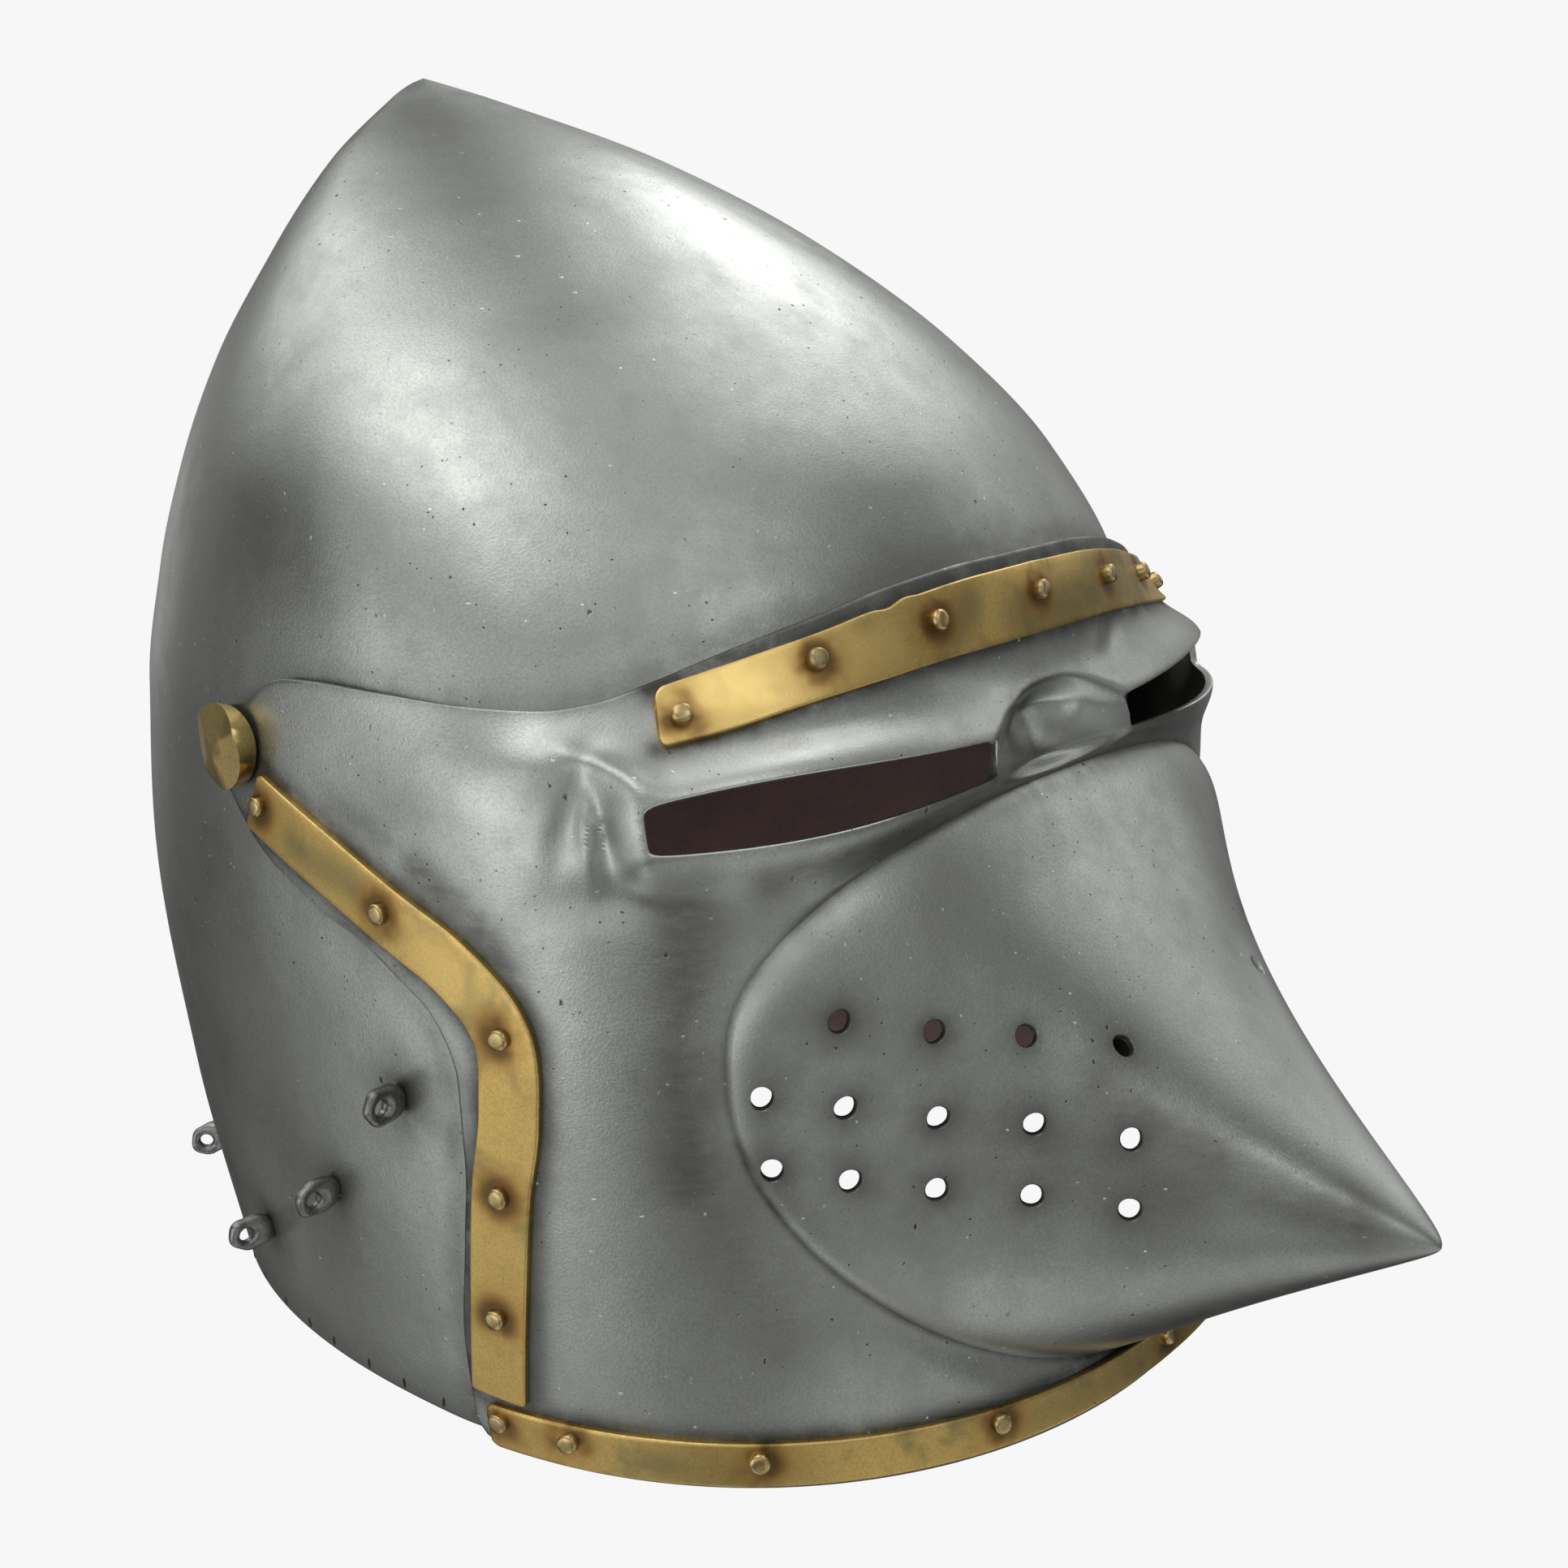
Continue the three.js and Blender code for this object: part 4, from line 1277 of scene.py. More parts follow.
    def slit_cutter(self, side: Side) -> Form:
        """Makes the form that cuts one eye slit, flared outwards so that the lip's edge is round.

        Args:
            side: which slit.

        Returns:
            Points and faces. Each end is closed by quads from the upper half to the lower.
        """
        flare = self.rim_flare
        turn = np.linspace(0, np.pi / 2, 5)
        profile = [(flare * 2.4, 1.6)]
        profile += [(flare * (1 - np.cos(a)), flare * (np.sin(a) - 1) + 0.02) for a in turn[::-1]]
        profile += [(0, -self.slit_depth)]
        rings = np.stack([self.slit_ring(side, grow, lift) for grow, lift in profile])
        count, n = rings.shape[:2]
        k = np.arange(n // 2 - 1)
        cap = np.stack([k, k + 1, n - 2 - k, n - 1 - k], -1)
        caps = cap[:, ::-1].tolist() + (cap + (count - 1) * n).tolist()
        return rings.reshape(-1, 3), Builder.tube_faces(count, n) + caps

    def breath_cutter(self, side: Side, degrees: float, along: float) -> Form:
        """Makes the drill for one breath, flared at the outer face and a little out of true.

        Args:
            side: the breath's side.
            degrees: its place round the snout.
            along: its place from the tip to the seam.

        Returns:
            Points and faces.
        """
        spot = [self.skin.snout(d, side.value, a)
                for d, a in ((degrees, along), (degrees, along - 0.01), (degrees + 1, along))]
        ahead, aside = spot[1] - spot[0], spot[2] - spot[0]
        normal = unit(np.cross(ahead, aside)) * -side.value
        normal = normal * np.sign(normal @ (spot[0] - np.array([0, -60, 70])))
        u = unit(np.cross(normal, [0, 0, 1]))
        v = np.cross(normal, u)
        turn = turns(28)
        rng = np.random.default_rng(int(degrees * 10 + along * 1000))
        ring = ring_of(u, v, turn) * hammered(turn, rng, (2, 0.035), (3, 0.02))[:, None]
        flare = ((0.9, 0.9), (0.42, 0.12), (0.16, -0.2), (0, -0.6), (0, -6))
        rings = np.stack([spot[0] + ring * (self.breath_radius + wider) + normal * lift
                          for wider, lift in flare])
        return Builder.closed(rings, rings[0].mean(0), rings[-1].mean(0))

    def breath_centres(self) -> Array:
        """Finds the middles of all the breaths.

        Returns:
            Points, (n, 3).
        """
        places = [self.skin.snout(d, side.value, a)
                  for side in Side for d, a in BREATHS.rows]
        return np.array(places)

    def seam_line(self, side: Side) -> Array:
        """Follows one half of the snout's seam.

        Args:
            side: which half.

        Returns:
            Points from its top to its foot, (500, 3).
        """
        degrees = np.linspace(0, 180, 500)
        sunk = self.skin.groove_depth(degrees, 0.0)
        return self.skin.raised(*self.skin.seam_place(degrees, side.value), -sunk)

    def edge_line(self) -> tuple[Array, Array]:
        """Follows the visor's edge above the hem.

        Returns:
            Points on the skull behind it, and points on its own rim.
        """
        t, z = self.loop(400)[:2]
        t, z = t[z > 2], z[z > 2]
        return self.skin.skull.at(t, z), self.skin.raised(t, z, -0.8 * self.skin.wall)

    def dress(self, made: Piece, material: Material, band_edges: Array) -> None:
        """Paints shade and highlights, darkens round the breaths, and marks wear on the slit lips.

        Args:
            made: the visor's object.
            material: its finish.
            band_edges: points along the edges of every band.
        """
        points = Builder.points_of(made)
        seam = np.vstack([self.seam_line(side) for side in Side])
        pins = np.array([[side.value * self.pin_reach, *PIVOT] for side in Side])
        breaths = self.breath_centres()
        grime_and_shade = np.zeros(len(points))
        # Painted shade by the bands, seam, rim and pivots, and darker patches round the breaths.
        for line, reach, strength in (
                (band_edges, 3.0, 0.95), (seam, 0.9, 0.7), (self.edge_line()[1], 1.5, 0.9),
                (pins, 14, 0.9), (breaths, 12, 0.42), (breaths, 3.4, 0.5)):
            grime_and_shade += strength * bell(nearest(points, line), reach)
        # Bright wear on the slit lips, and painted highlights on the nose bridge, brow and snout.
        away = nearest(points, np.vstack([self.slit_ring(side, 0, 0) for side in Side]))
        lips = 0.9 * (1 - ease(away, 0.15, 0.45))
        plate, snout = self.skin.on, self.skin.on_snout
        painted_highlight = clouds(points, (VISOR_PAINTED_HIGHLIGHTS, plate), (SNOUT_PAINTED_HIGHLIGHTS, snout))
        # Dark clouds of painted shade and darker patches.
        dark = clouds(points, (VISOR_SHADE_AND_STAIN, plate), (SNOUT_SHADE_AND_STAIN, snout))
        Builder.shade(made, "grime_and_shade", np.clip(grime_and_shade * ease(away, 0.5, 3), 0, 1))
        Builder.shade(made, "worn", np.maximum(lips, painted_highlight))
        Builder.shade(made, "cloud", dark)
        Builder.hand_over(made, "visor", "steel", material, ["visor"])


@dataclass
class Band:
    """A brass band riveted on the visor: a rounded strip along a line on the raised plate."""

    skin: VisorSkin
    name: str
    line: Line
    length: float
    half: Callable[[Array], Array]
    corner: float = 2.4
    top: float = 1.4
    sunk: float = 0.2
    shoulder: float = 0.5
    waver: float = 0.05
    stations: int = 150
    seed: int = 1

    def along(self) -> Array:
        """Stations along the band, crowded at both ends where its corners are round."""
        s = np.linspace(-1, 1, self.stations)
        return (s + 0.16 * np.sin(np.pi * s) + 1) / 2

    def build(self) -> Piece:
        """Carries the cross-section along the line and closes both ends.

        Near an end the half width follows a quarter circle of the corner's radius, and the top
        comes down over the shoulder's radius.

        Returns:
            The band's object.
        """
        share = self.along()
        run = share * self.length
        end = np.minimum(run, self.length - run)
        c, r = self.corner, self.shoulder
        tight = c - np.sqrt(np.maximum(c ** 2 - np.maximum(c - end, 0) ** 2, 0))
        drop = r - np.sqrt(np.maximum(r ** 2 - np.maximum(r - end, 0) ** 2, 0))
        upper = self.half(share) + wander(run, self.waver, self.seed) - tight
        lower = self.half(share) + wander(run, self.waver, self.seed + 1) - tight
        turn = np.linspace(0, np.pi / 2, 5)
        side = np.stack([r * (1 - np.sin(turn)), r * (1 - np.cos(turn))], -1)
        flat = np.linspace(-1, 1, 13)[1:-1]
        loops = [(-1, 0.0, None), (-1, 0.0, r)]
        loops += [(-1, inset, fall) for inset, fall in side[::-1][1:]]
        loops += [(w, 0.0, 0.0) for w in flat]
        loops += [(1, inset, fall) for inset, fall in side[:-1]]
        loops += [(1, 0.0, r), (1, 0.0, None)]
        offsets, lifts = [], []
        for w, inset, fall in loops:
            width = np.where(w > 0, upper, lower)
            offsets.append(w * (width - inset * (abs(w) == 1)) * (1.0 if abs(w) == 1 else 0.93))
            lifts.append(np.full_like(run, -self.sunk) if fall is None else self.top - fall - drop)
        offset, lift = np.stack(offsets), np.maximum(np.stack(lifts), -self.sunk)
        t, z = self.line(share, offset)
        rings = self.skin.raised(t, z, lift).transpose(1, 0, 2)
        form = Builder.closed(rings, rings[0].mean(0), rings[-1].mean(0))
        return Builder.piece(self.name + "_strip", *form, sharp=50)

    def edges(self) -> Array:
        """Follows the band's two edges.

        Returns:
            Points on the plate under them, (n, 3).
        """
        share = np.linspace(0, 1, 160)
        half = self.half(share)
        return np.vstack([self.skin.raised(*self.line(share, edge)) for edge in (-half, half)])

    def dress(self, made: Piece, material: Material, rivets: Array) -> None:
        """Marks tarnish and painted shade round the rivets, wear along the edges, painted
        highlights and patina, and hands the band over.

        Args:
            made: the band's object.
            material: its finish.
            rivets: the feet of the rivets on it.
        """
        points = Builder.points_of(made)
        away = nearest(points, rivets)
        # Orange tarnish round the rivets, whose dark core is partly painted contact shade.
        Builder.shade(made, "tarnish", np.clip(0.6 * bell(away, 8.5) + 0.7 * bell(away, 4.4), 0, 1))
        Builder.shade(made, "worn", bell(nearest(points, self.edges()), 1.6))
        # Painted highlights on the brass.
        Builder.shade(made, "painted_highlight", clouds(points, (BRASS_PAINTED_HIGHLIGHTS, self.skin.on)))
        Builder.shade(made, "patina", clouds(points, (BRASS_PATINA, self.skin.on)))
        Builder.hand_over(made, "visor", "brass", material, [self.name])


@dataclass
class BandSet:
    """The visor's four brass bands and their rivets."""

    skin: VisorSkin
    cheek_width: float = 12.6
    hem_bottom: float = 1.1
    hem_end: float = 82.5
    brow_end: float = BROW_BAND_LINE.rows[-1][0]
    rivet_seat: float = 1.35
    brow_rivet_height: float = 2.4
    edge_rivet_height: float = 1.6

    def brow_line(self, share: Array, offset: Array) -> tuple[Array, Array]:
        """Follows the brow band: angles evenly along it, and its middle line's height.

        Args:
            share: shares of the whole band.
            offset: ways above its middle line. The upper edge has a small dent and a lump.

        Returns:
            Angles in radians and heights.
        """
        angle = self.brow_end * (2 * share - 1)
        dent = (0.35 * bell(angle + 19.5, 1.2) - 0.5 * bell(angle + 21.8, 1.3)) * ease(offset, 0, 6)
        z = BROW_BAND_LINE.curve("height")(np.abs(angle)) + offset + dent
        return np.broadcast_to(np.radians(angle), z.shape), z

    def brow_half(self, share: Array) -> Array:
        """Half the brow band's height along it."""
        return BROW_BAND_LINE.curve("half")(np.abs(self.brow_end * (2 * share - 1)))

    def hem_line(self, share: Array, offset: Array) -> tuple[Array, Array]:
        """Follows the hem band: angles evenly along it, midway between its edges.

        Args:
            share: shares of the whole band.
            offset: ways above its middle line.

        Returns:
            Angles in radians and heights.
        """
        angle = self.hem_end * (2 * share - 1)
        z = (self.hem_top(angle) + self.hem_bottom) / 2 + offset
        return np.broadcast_to(np.radians(angle), z.shape), z

    def hem_top(self, angle: Array) -> Array:
        """The hem band's upper edge: 8 mm at the front, and 2.4 mm more round the sides."""
        return 8 + 2.4 * np.sin(np.radians(np.minimum(np.abs(angle) * 1.4, 90)))

    def hem_half(self, share: Array) -> Array:
        """Half the hem band's height along it."""
        angle = self.hem_end * (2 * share - 1)
        return (self.hem_top(angle) - self.hem_bottom) / 2

    def cheek_line(self, side: Side) -> Line:
        """Makes the cheek band's line: a spline through its table, and offsets square to it.

        Both are worked out in Y and Z, which the cheek's face nearly follows.

        Args:
            side: which cheek.

        Returns:
            A function from shares and offsets to angles in radians and heights.
        """
        def place(share: Array, offset: Array) -> tuple[Array, Array]:
            """Reads the line.

            Args:
                share: shares of its length.
                offset: ways to one side of it.

            Returns:
                Angles in radians and heights.
            """
            ahead = self.cheek_spline(np.clip(share + 1e-3, 0, 1))
            heading = unit(ahead - self.cheek_spline(np.clip(share - 1e-3, 0, 1)))
            here = self.cheek_spline(share)
            y = here[..., 0] + offset * heading[..., 1]
            z = here[..., 1] - offset * heading[..., 0]
            return side.value * self.skin.angle_back(y, z), z
        return place

    def cheek_spline(self, share: Array) -> Array:
        """Reads the cheek band's middle line.

        The line is a Catmull-Rom spline: each stretch is a cubic whose slopes at its ends are half
        the way between the rows on either side.

        Args:
            share: shares of the whole line.

        Returns:
            Y and Z, with a last axis of two.
        """
        angle, height = CHEEK_BAND_LINE.column("angle"), CHEEK_BAND_LINE.column("height")
        rows = self.skin.at(np.radians(angle), height)[:, 1:]
        place = np.asarray(share, float) * (len(rows) - 1)
        i = np.clip(place.astype(int), 0, len(rows) - 2)
        s = (place - i)[..., None]
        p0, p1, p2 = rows[np.maximum(i - 1, 0)], rows[i], rows[i + 1]
        p3 = rows[np.minimum(i + 2, len(rows) - 1)]
        v0, v1 = (p2 - p0) / 2, (p3 - p1) / 2
        cubic, square = 2 * p1 - 2 * p2 + v0 + v1, 3 * p2 - 3 * p1 - 2 * v0 - v1
        return cubic * s ** 3 + square * s ** 2 + v0 * s + p1

    def band(self, name: str, line: Line, half: Callable[[Array], Array], **sizes: float) -> Band:
        """Makes a band whose length is that of its middle line on the plate.

        Args:
            name: the frame's node.
            line: where it runs.
            half: half its width along it.
            sizes: its other fields.

        Returns:
            The band.
        """
        share = np.linspace(0, 1, 200)
        length = run_length(self.skin.raised(*line(share, np.zeros_like(share))))[-1]
        return Band(self.skin, name, line, float(length), half, **sizes)

    def bands(self) -> list[Band]:
        """Lists the four bands.

        Returns:
            Brow band, hem band and the two cheek bands.
        """
        half = self.cheek_width / 2
        made = [self.band("brow_band", self.brow_line, self.brow_half, stations=220, seed=3),
                self.band("hem_band", self.hem_line, self.hem_half, stations=260, seed=5)]
        for side in Side:
            made.append(self.band("cheek_band_" + side.word, self.cheek_line(side),
                                  lambda share: np.full_like(share, half),
                                  corner=1.2, stations=200, seed=8 + side.value))
        return made

    def rivet_places(self) -> dict[str, tuple[str, float, float, float]]:
        """Lists every rivet by the frame's node name.

        Returns:
            For each node: its band, its angle in radians, its height, and how far it stands proud.
        """
        places = {}
        for word, table, proud in (("brow", BROW_RIVETS, self.brow_rivet_height),
                                   ("hem", HEM_RIVETS, self.edge_rivet_height)):
            mirrored = [(-angle, height) for angle, height in table.rows[:0:-1]]
            for k, (angle, height) in enumerate([*mirrored, *table.rows], 1):
                places[f"{word}_rivet_{k}"] = (word + "_band", np.radians(angle), height, proud)
        for side in Side:
            line = self.cheek_line(side)
            for k, row in enumerate(CHEEK_RIVET_ROWS, 1):
                t, z = line(row / (len(CHEEK_BAND_LINE.rows) - 1), 0)
                name = f"cheek_rivet_{side.word}_{k}"
                band = "cheek_band_" + side.word
                places[name] = (band, float(t), float(z), self.edge_rivet_height)
        return places


@dataclass
class Rivet:
    """A rivet's head: a short peg with a flat, round-edged cap that was hammered a little askew."""

    radius: float = 2.12
    around: int = 28
    root: float = 0.9

    def build(self, name: str, foot: Array, normal: Array, height: float, seed: int) -> Piece:
        """Turns the head's profile about its axis.

        The cap is nearly flat inside its round edge, and the rim waves by two sines.

        Args:
            name: the object's name.
            foot: the middle of its foot, on the band.
            normal: the axis it stands along.
            height: how far it stands out of the band.
            seed: picks how it leans and waves.

        Returns:
            The rivet's object.
        """
        rng = np.random.default_rng(seed)
        side = unit(np.cross(normal, [0.13, 0.31, 0.94]))
        other = np.cross(normal, side)
        lean = rng.normal(0, 0.05, 2)
        axis = unit(normal + side * lean[0] + other * lean[1])
        turn = turns(self.around)
        wave = hammered(turn, rng, (2, 0.03), (3, 0.02))
        dome = np.linspace(0, np.pi / 2, 10)[1:-1]
        r = self.radius * np.concatenate([[1.02, 1.0], np.cos(dome) ** 0.5])
        h = np.concatenate([[-self.root, 0.15], height * (0.45 + 0.55 * np.sin(dome) ** 0.9)])
        spread = ring_of(side, other, turn) * (r[:, None] * wave)[..., None]
        rings = foot + spread + axis * h[:, None, None]
        top = foot + axis * height * (1 + rng.uniform(-0.02, 0.05))
        return Builder.piece(name, *Builder.closed(rings, foot - normal * self.root, top), sharp=60)


@dataclass
class PivotBolt:
    """A pivot bolt: a wide brass head with hammered facets, and a shank through both plates."""

    skin: VisorSkin
    radius: float = 8.7
    thickness: float = 4.7
    shank: float = 3.0
    gap: float = 0.3
    skull_wall: float = 1.8
    tilt: float = 13.0
    facets: Table = Table("across up level", (
        (0.24, 0.14, 0.86), (-0.26, 0.06, 0.90), (0.05, -0.28, 0.90), (-0.10, 0.26, 0.92),
        (0.09, -0.05, 0.98)))
    softness: float = 0.08

    def build(self, side: Side) -> Piece:
        """Builds the head as a low dome with five flat facets shaved off it.

        The dome's radius and height follow powers of an angle's cosine and sine, and it is cut
        down to each facet's own plane by a soft minimum. The head leans back with the skull's
        side, and its wall runs down into the visor.

        Args:
            side: which pivot.

        Returns:
            The bolt's object.
        """
        middle, height = PIVOT
        seat = float(self.skin.curves["half"](height)) + self.gap
        inner = float(self.skin.skull.curves["half"](height)) - self.skull_wall - seat
        turn = turns(56)
        angle = np.linspace(0, np.pi / 2, 26)[:-1]
        r = self.radius * np.concatenate([[0.95, 0.985], np.cos(angle) ** 0.42])
        rings_r = np.concatenate([[self.shank, self.shank], r])[:, None]
        h = self.thickness * (0.58 + 0.42 * np.sin(angle) ** 0.8)
        rings_h = np.concatenate([[inner, -0.2, -0.2, 0.9], h])[:, None]
        across = rings_r * np.cos(turn) * (1 + 0.012 * np.sin(3 * turn))
        up = rings_r * np.sin(turn) * (1 + 0.012 * np.cos(2 * turn))
        out = np.broadcast_to(rings_h, across.shape).copy()
        for lean_across, lean_up, level in self.facets.rows:
            plane = self.thickness * level + lean_across * across + lean_up * up
            soft = self.softness
            out[4:] = -soft * np.logaddexp(-out[4:] / soft, -plane[4:] / soft)
        lean = np.radians(self.tilt) * (np.arange(len(rings_r)) >= 3)[:, None]
        x = side.value * (seat + out * np.cos(lean) - across * np.sin(lean))
        y = middle + across * np.cos(lean) + out * np.sin(lean)
        rings = np.stack([x, y, height + up], -1)
        foot = np.array([side.value * (seat + inner), *PIVOT])
        form = Builder.closed(rings, foot, rings[-1].mean(0))
        return Builder.piece("pivot_bolt_head_" + side.word, *form, sharp=55)


@dataclass
class NeckLoop:
    """A forged eye on the skull for the neck guard's cord, flared where it meets the steel."""

    skin: SkullSkin
    eye: float = 1.5
    radius: float = 3.7
    flare: float = 3.1
    flare_reach: float = 0.85
    thickness: float = 2.6
    stand_off: float = 5.7
    sunk: float = 0.25

    def foot(self, side: Side, back: float, height: float) -> tuple[Array, Array, Array]:
        """Finds where a loop stands.

        Args:
            side: the loop's side.
            back: how far back it is.
            height: its height.

        Returns:
            The foot's point, the outward normal and the level direction along the hem.
        """
        t = side.value * self.skin.angle_back(back, height)
        normal = self.skin.outward(t, height)
        return self.skin.at(t, height), normal, unit(np.cross(UP, normal))

    def build(self, name: str, side: Side, back: float, height: float, seed: int) -> Piece:
        """Carries a flattened oval round the eye, wider towards the skull.

        The outer radius grows by a bell towards the foot, the section is a superellipse, slow waves
        leave it looking forged, and what lies deeper than a little under the steel is drawn up.

        Args:
            name: the object's name.
            side: the loop's side.
            back: how far back it is.
            height: its height.
            seed: picks its waves.

        Returns:
            The loop's object.
        """
        point, normal, along = self.foot(side, back, height)
        up = np.cross(normal, along)
        rng = np.random.default_rng(seed)
        turn, section = turns(56), turns(22)
        foot = bell(turn - np.pi, self.flare_reach)
        wave = hammered(turn, rng, (2, 0.05), (5, 0.035))
        outer = self.radius * wave + self.flare * foot
        middle, half = (outer + self.eye) / 2, (outer - self.eye) / 2
        depth = self.thickness / 2 * (0.92 + 0.75 * foot) * wave
        reach = middle[:, None] + half[:, None] * signed_power(np.cos(section), 2 / 2.5)
        thick = depth[:, None] * signed_power(np.sin(section), 2 / 2.3)
        spoke = ring_of(normal, up, turn)[:, None]
        rings = point + normal * self.stand_off + spoke * reach[..., None]
        rings = rings + along * thick[..., None]
        under = (rings - point) @ normal
        rings = rings + normal * np.maximum(-self.sunk - under, 0)[..., None]
        faces = Builder.tube_faces(len(turn), len(section), ring=True)
        return Builder.piece(name, rings.reshape(-1, 3), faces, sharp=70)


@dataclass
class HemStitches:
    """Dark thread that whips the lining to the skull's hem behind the visor."""

    skin: SkullSkin
    start: float = 86.0
    spacing: float = 12.0
    thread: float = 0.75
    length: float = 3.6
    seed: int = 11

    def build(self) -> Piece:
        """Lays a short thread over the hem's edge every few millimetres.

        Each stitch is a round tube along half an oval that goes from the outer face, under the
        edge, to the lining, and its ends are drawn to points.

        Returns:
            All the stitches as one object.
        """
        sweep = np.radians(np.linspace(self.start, 360 - self.start, 900))
        run = run_length(self.skin.at(sweep, np.full_like(sweep, 1.2)))
        count = int(run[-1] / self.spacing)
        rng = np.random.default_rng(self.seed)
        stops = (np.arange(count) + 0.5 + rng.uniform(-0.12, 0.12, count)) * run[-1] / count
        parts = [self.stitch(np.interp(stop, run, sweep), slant)
                 for stop, slant in zip(stops, rng.normal(0, 0.35, count))]
        return Builder.piece("hem_stitches", *Builder.joined(parts), sharp=80)

    def stitch(self, t: float, slant: float) -> Form:
        """Makes one stitch.

        Args:
            t: its angle round the helmet in radians.
            slant: how far it leans along the hem, in millimetres.

        Returns:
            Points and faces.
        """
        foot = self.skin.at(t, 0.9)
        out = unit(self.skin.outward(t, 2.0) * (1 - UP))
        along = unit(np.cross(UP, out))
        s = np.linspace(0, 1, 11)[:, None]
        bend = np.pi * (1.12 * s - 0.06)
        rise = self.length * (0.55 - 0.55 * np.sin(bend)) + 0.15
        centre = foot + out * (np.cos(bend) - 0.7) + UP * rise + along * slant * (2 * s - 1)
        centre[:, 2] = np.maximum(centre[:, 2], self.thread * 0.55)
        first = unit(np.cross(unit(np.gradient(centre, axis=0)), along))
        second = np.cross(unit(np.gradient(centre, axis=0)), first)
        swell = self.thread / 2 * np.sqrt(np.sin(np.pi * np.clip(s, 0.03, 0.97)))
        rings = centre[:, None] + ring_of(first, second, turns(8)) * swell[:, :, None]
        return Builder.closed(rings, centre[0], centre[-1])


class Wiring:
    """A node tree being wired, with short methods for new nodes and steps of arithmetic."""

    def __init__(self, tree: bpy.types.NodeTree) -> None:
        """Takes the tree that is to be wired."""
        self.tree = tree

    def node(self, kind: str, feeds: dict | None = None, **settings: object) -> bpy.types.Node:
        """Makes a node.

        Args:
            kind: the node's type, without its first word.
            feeds: what goes into its inputs, by their names or numbers.
            settings: the node's own settings.

        Returns:
            The new node.
        """
        made = self.tree.nodes.new("ShaderNode" + kind)
        for name, value in settings.items():
            setattr(made, name, value)
        for key, value in (feeds or {}).items():
            self.feed(value, made.inputs[key])
        return made

    def feed(self, value: object, socket: Socket) -> None:
        """Links a socket to another, or sets its own value.

        Args:
            value: the other socket, or the value.
            socket: the input that takes it.
        """
        if isinstance(value, bpy.types.NodeSocket):
            self.tree.links.new(value, socket)
        else:
            socket.default_value = value

    def maths(self, operation: str, *values: object) -> Socket:
        """Makes one step of arithmetic, kept between 0 and 1 where it adds or subtracts.

        Args:
            operation: its name in Blender.
            values: sockets or numbers to work on.

        Returns:
            The result.
        """
        clamp = operation in ("ADD", "SUBTRACT")
        feeds = dict(enumerate(values))
        return self.node("Math", feeds, operation=operation, use_clamp=clamp).outputs[0]


